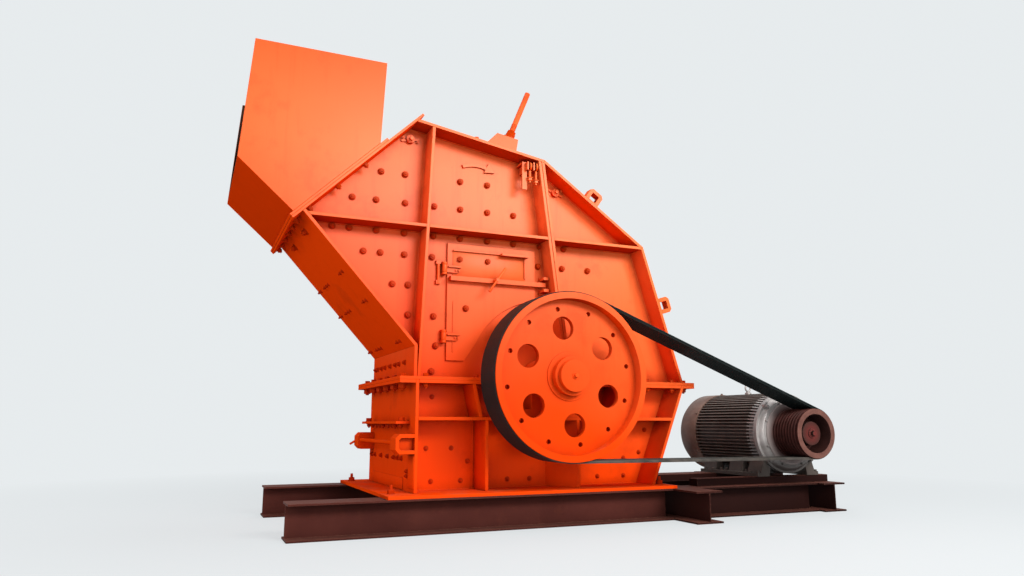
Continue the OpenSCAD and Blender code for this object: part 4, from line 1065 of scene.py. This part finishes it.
# %% [markdown]
# ## Floor, backdrop and light
# The machine stands on a pale ground with soft light from above and in front. The floor keeps
# the shadow near the machine and fades into the backdrop's tone further out, so no horizon
# shows. The key lamp gives the sheen on the upper wall, two weaker ones open the feed side and
# the lower front, and one overhead lights the level faces.

# %% Floor
PALE = (0.80, 0.835, 0.85)


def shown_ray(tree):
    """1 for rays from the camera, and for those that a shiny or clear face sends on."""
    rays = tree.nodes.new("ShaderNodeLightPath")
    eye = Wire(rays.outputs["Is Camera Ray"])
    eye = eye.maths("MAXIMUM", eye, Wire(rays.outputs["Is Glossy Ray"]))
    return eye.maths("MAXIMUM", eye, Wire(rays.outputs["Is Transmission Ray"]))


bm = bmesh.new()
bmesh.ops.create_grid(bm, x_segments=1, y_segments=1, size=60)
floor_mesh = bpy.data.meshes.new("floor")
bm.to_mesh(floor_mesh)
bm.free()
floor = bpy.data.objects.new("floor", floor_mesh)
scene.collection.objects.link(floor)
ground = Finish("floor_paint", specular=0.0, roughness=0.9)
shown = shown_ray(ground.tree)
ground.feed(Base_Color=shown.between((0.40, 0.40, 0.41), tuple(0.77 * v for v in PALE)))
away = ground.where.vector("LENGTH", output="Value")
glow = ground.where.node("ShaderNodeEmission", {}, {"Color": (*PALE, 1), "Strength": 1.0})
ground.cover(shown * (0.72 + 0.28 * away.step(2.4, 6.0)), glow)
floor_mesh.materials.append(ground.material)
print("floor", tuple(round(v) for v in floor.dimensions))

# %% Backdrop
world = bpy.data.worlds.new("studio")
scene.world = world
world.use_nodes = True
outwards = Wire(world.node_tree.nodes.new("ShaderNodeTexCoord").outputs["Generated"])
sky = outwards.axis(2).step(0.0, 0.85).between((0.20, 0.205, 0.21), (0.60, 0.61, 0.63))
light = shown_ray(world.node_tree).between(sky, PALE)
world.node_tree.links.new(light.socket, world.node_tree.nodes["Background"].inputs["Color"])
print("backdrop", world.name)

# %% Lamps
def soft_lamp(name, spot, aim, wide, tall, power, tint):
    data = bpy.data.lights.new(name, "AREA")
    data.shape = "RECTANGLE"
    data.size = wide
    data.size_y = tall
    data.energy = power
    data.color = tint
    lamp = bpy.data.objects.new(name, data)
    scene.collection.objects.link(lamp)
    lamp.location = spot
    lamp.rotation_euler = (Vector(aim) - Vector(spot)).to_track_quat("-Z", "Y").to_euler()
    print("lamp", name, power, "W")


soft_lamp("key", (1.9, -7.0, 4.2), (-0.2, 0, 1.5), 4.6, 2.0, 590, (1.0, 0.985, 0.96))
soft_lamp("feed_fill", (-7.0, -1.5, 2.6), (-0.4, 0, 1.2), 5.0, 4.0, 145, (1.0, 0.98, 0.96))
soft_lamp("front_fill", (-0.6, -7.0, 1.4), (0.2, 0, 0.8), 5.0, 2.0, 90, (1.0, 0.985, 0.96))
soft_lamp("top", (0.5, 0.5, 7.5), (0, 0, 1.0), 5.0, 5.0, 160, (1.0, 1.0, 1.0))
scene.view_settings.view_transform = "Standard"

# %% [markdown]
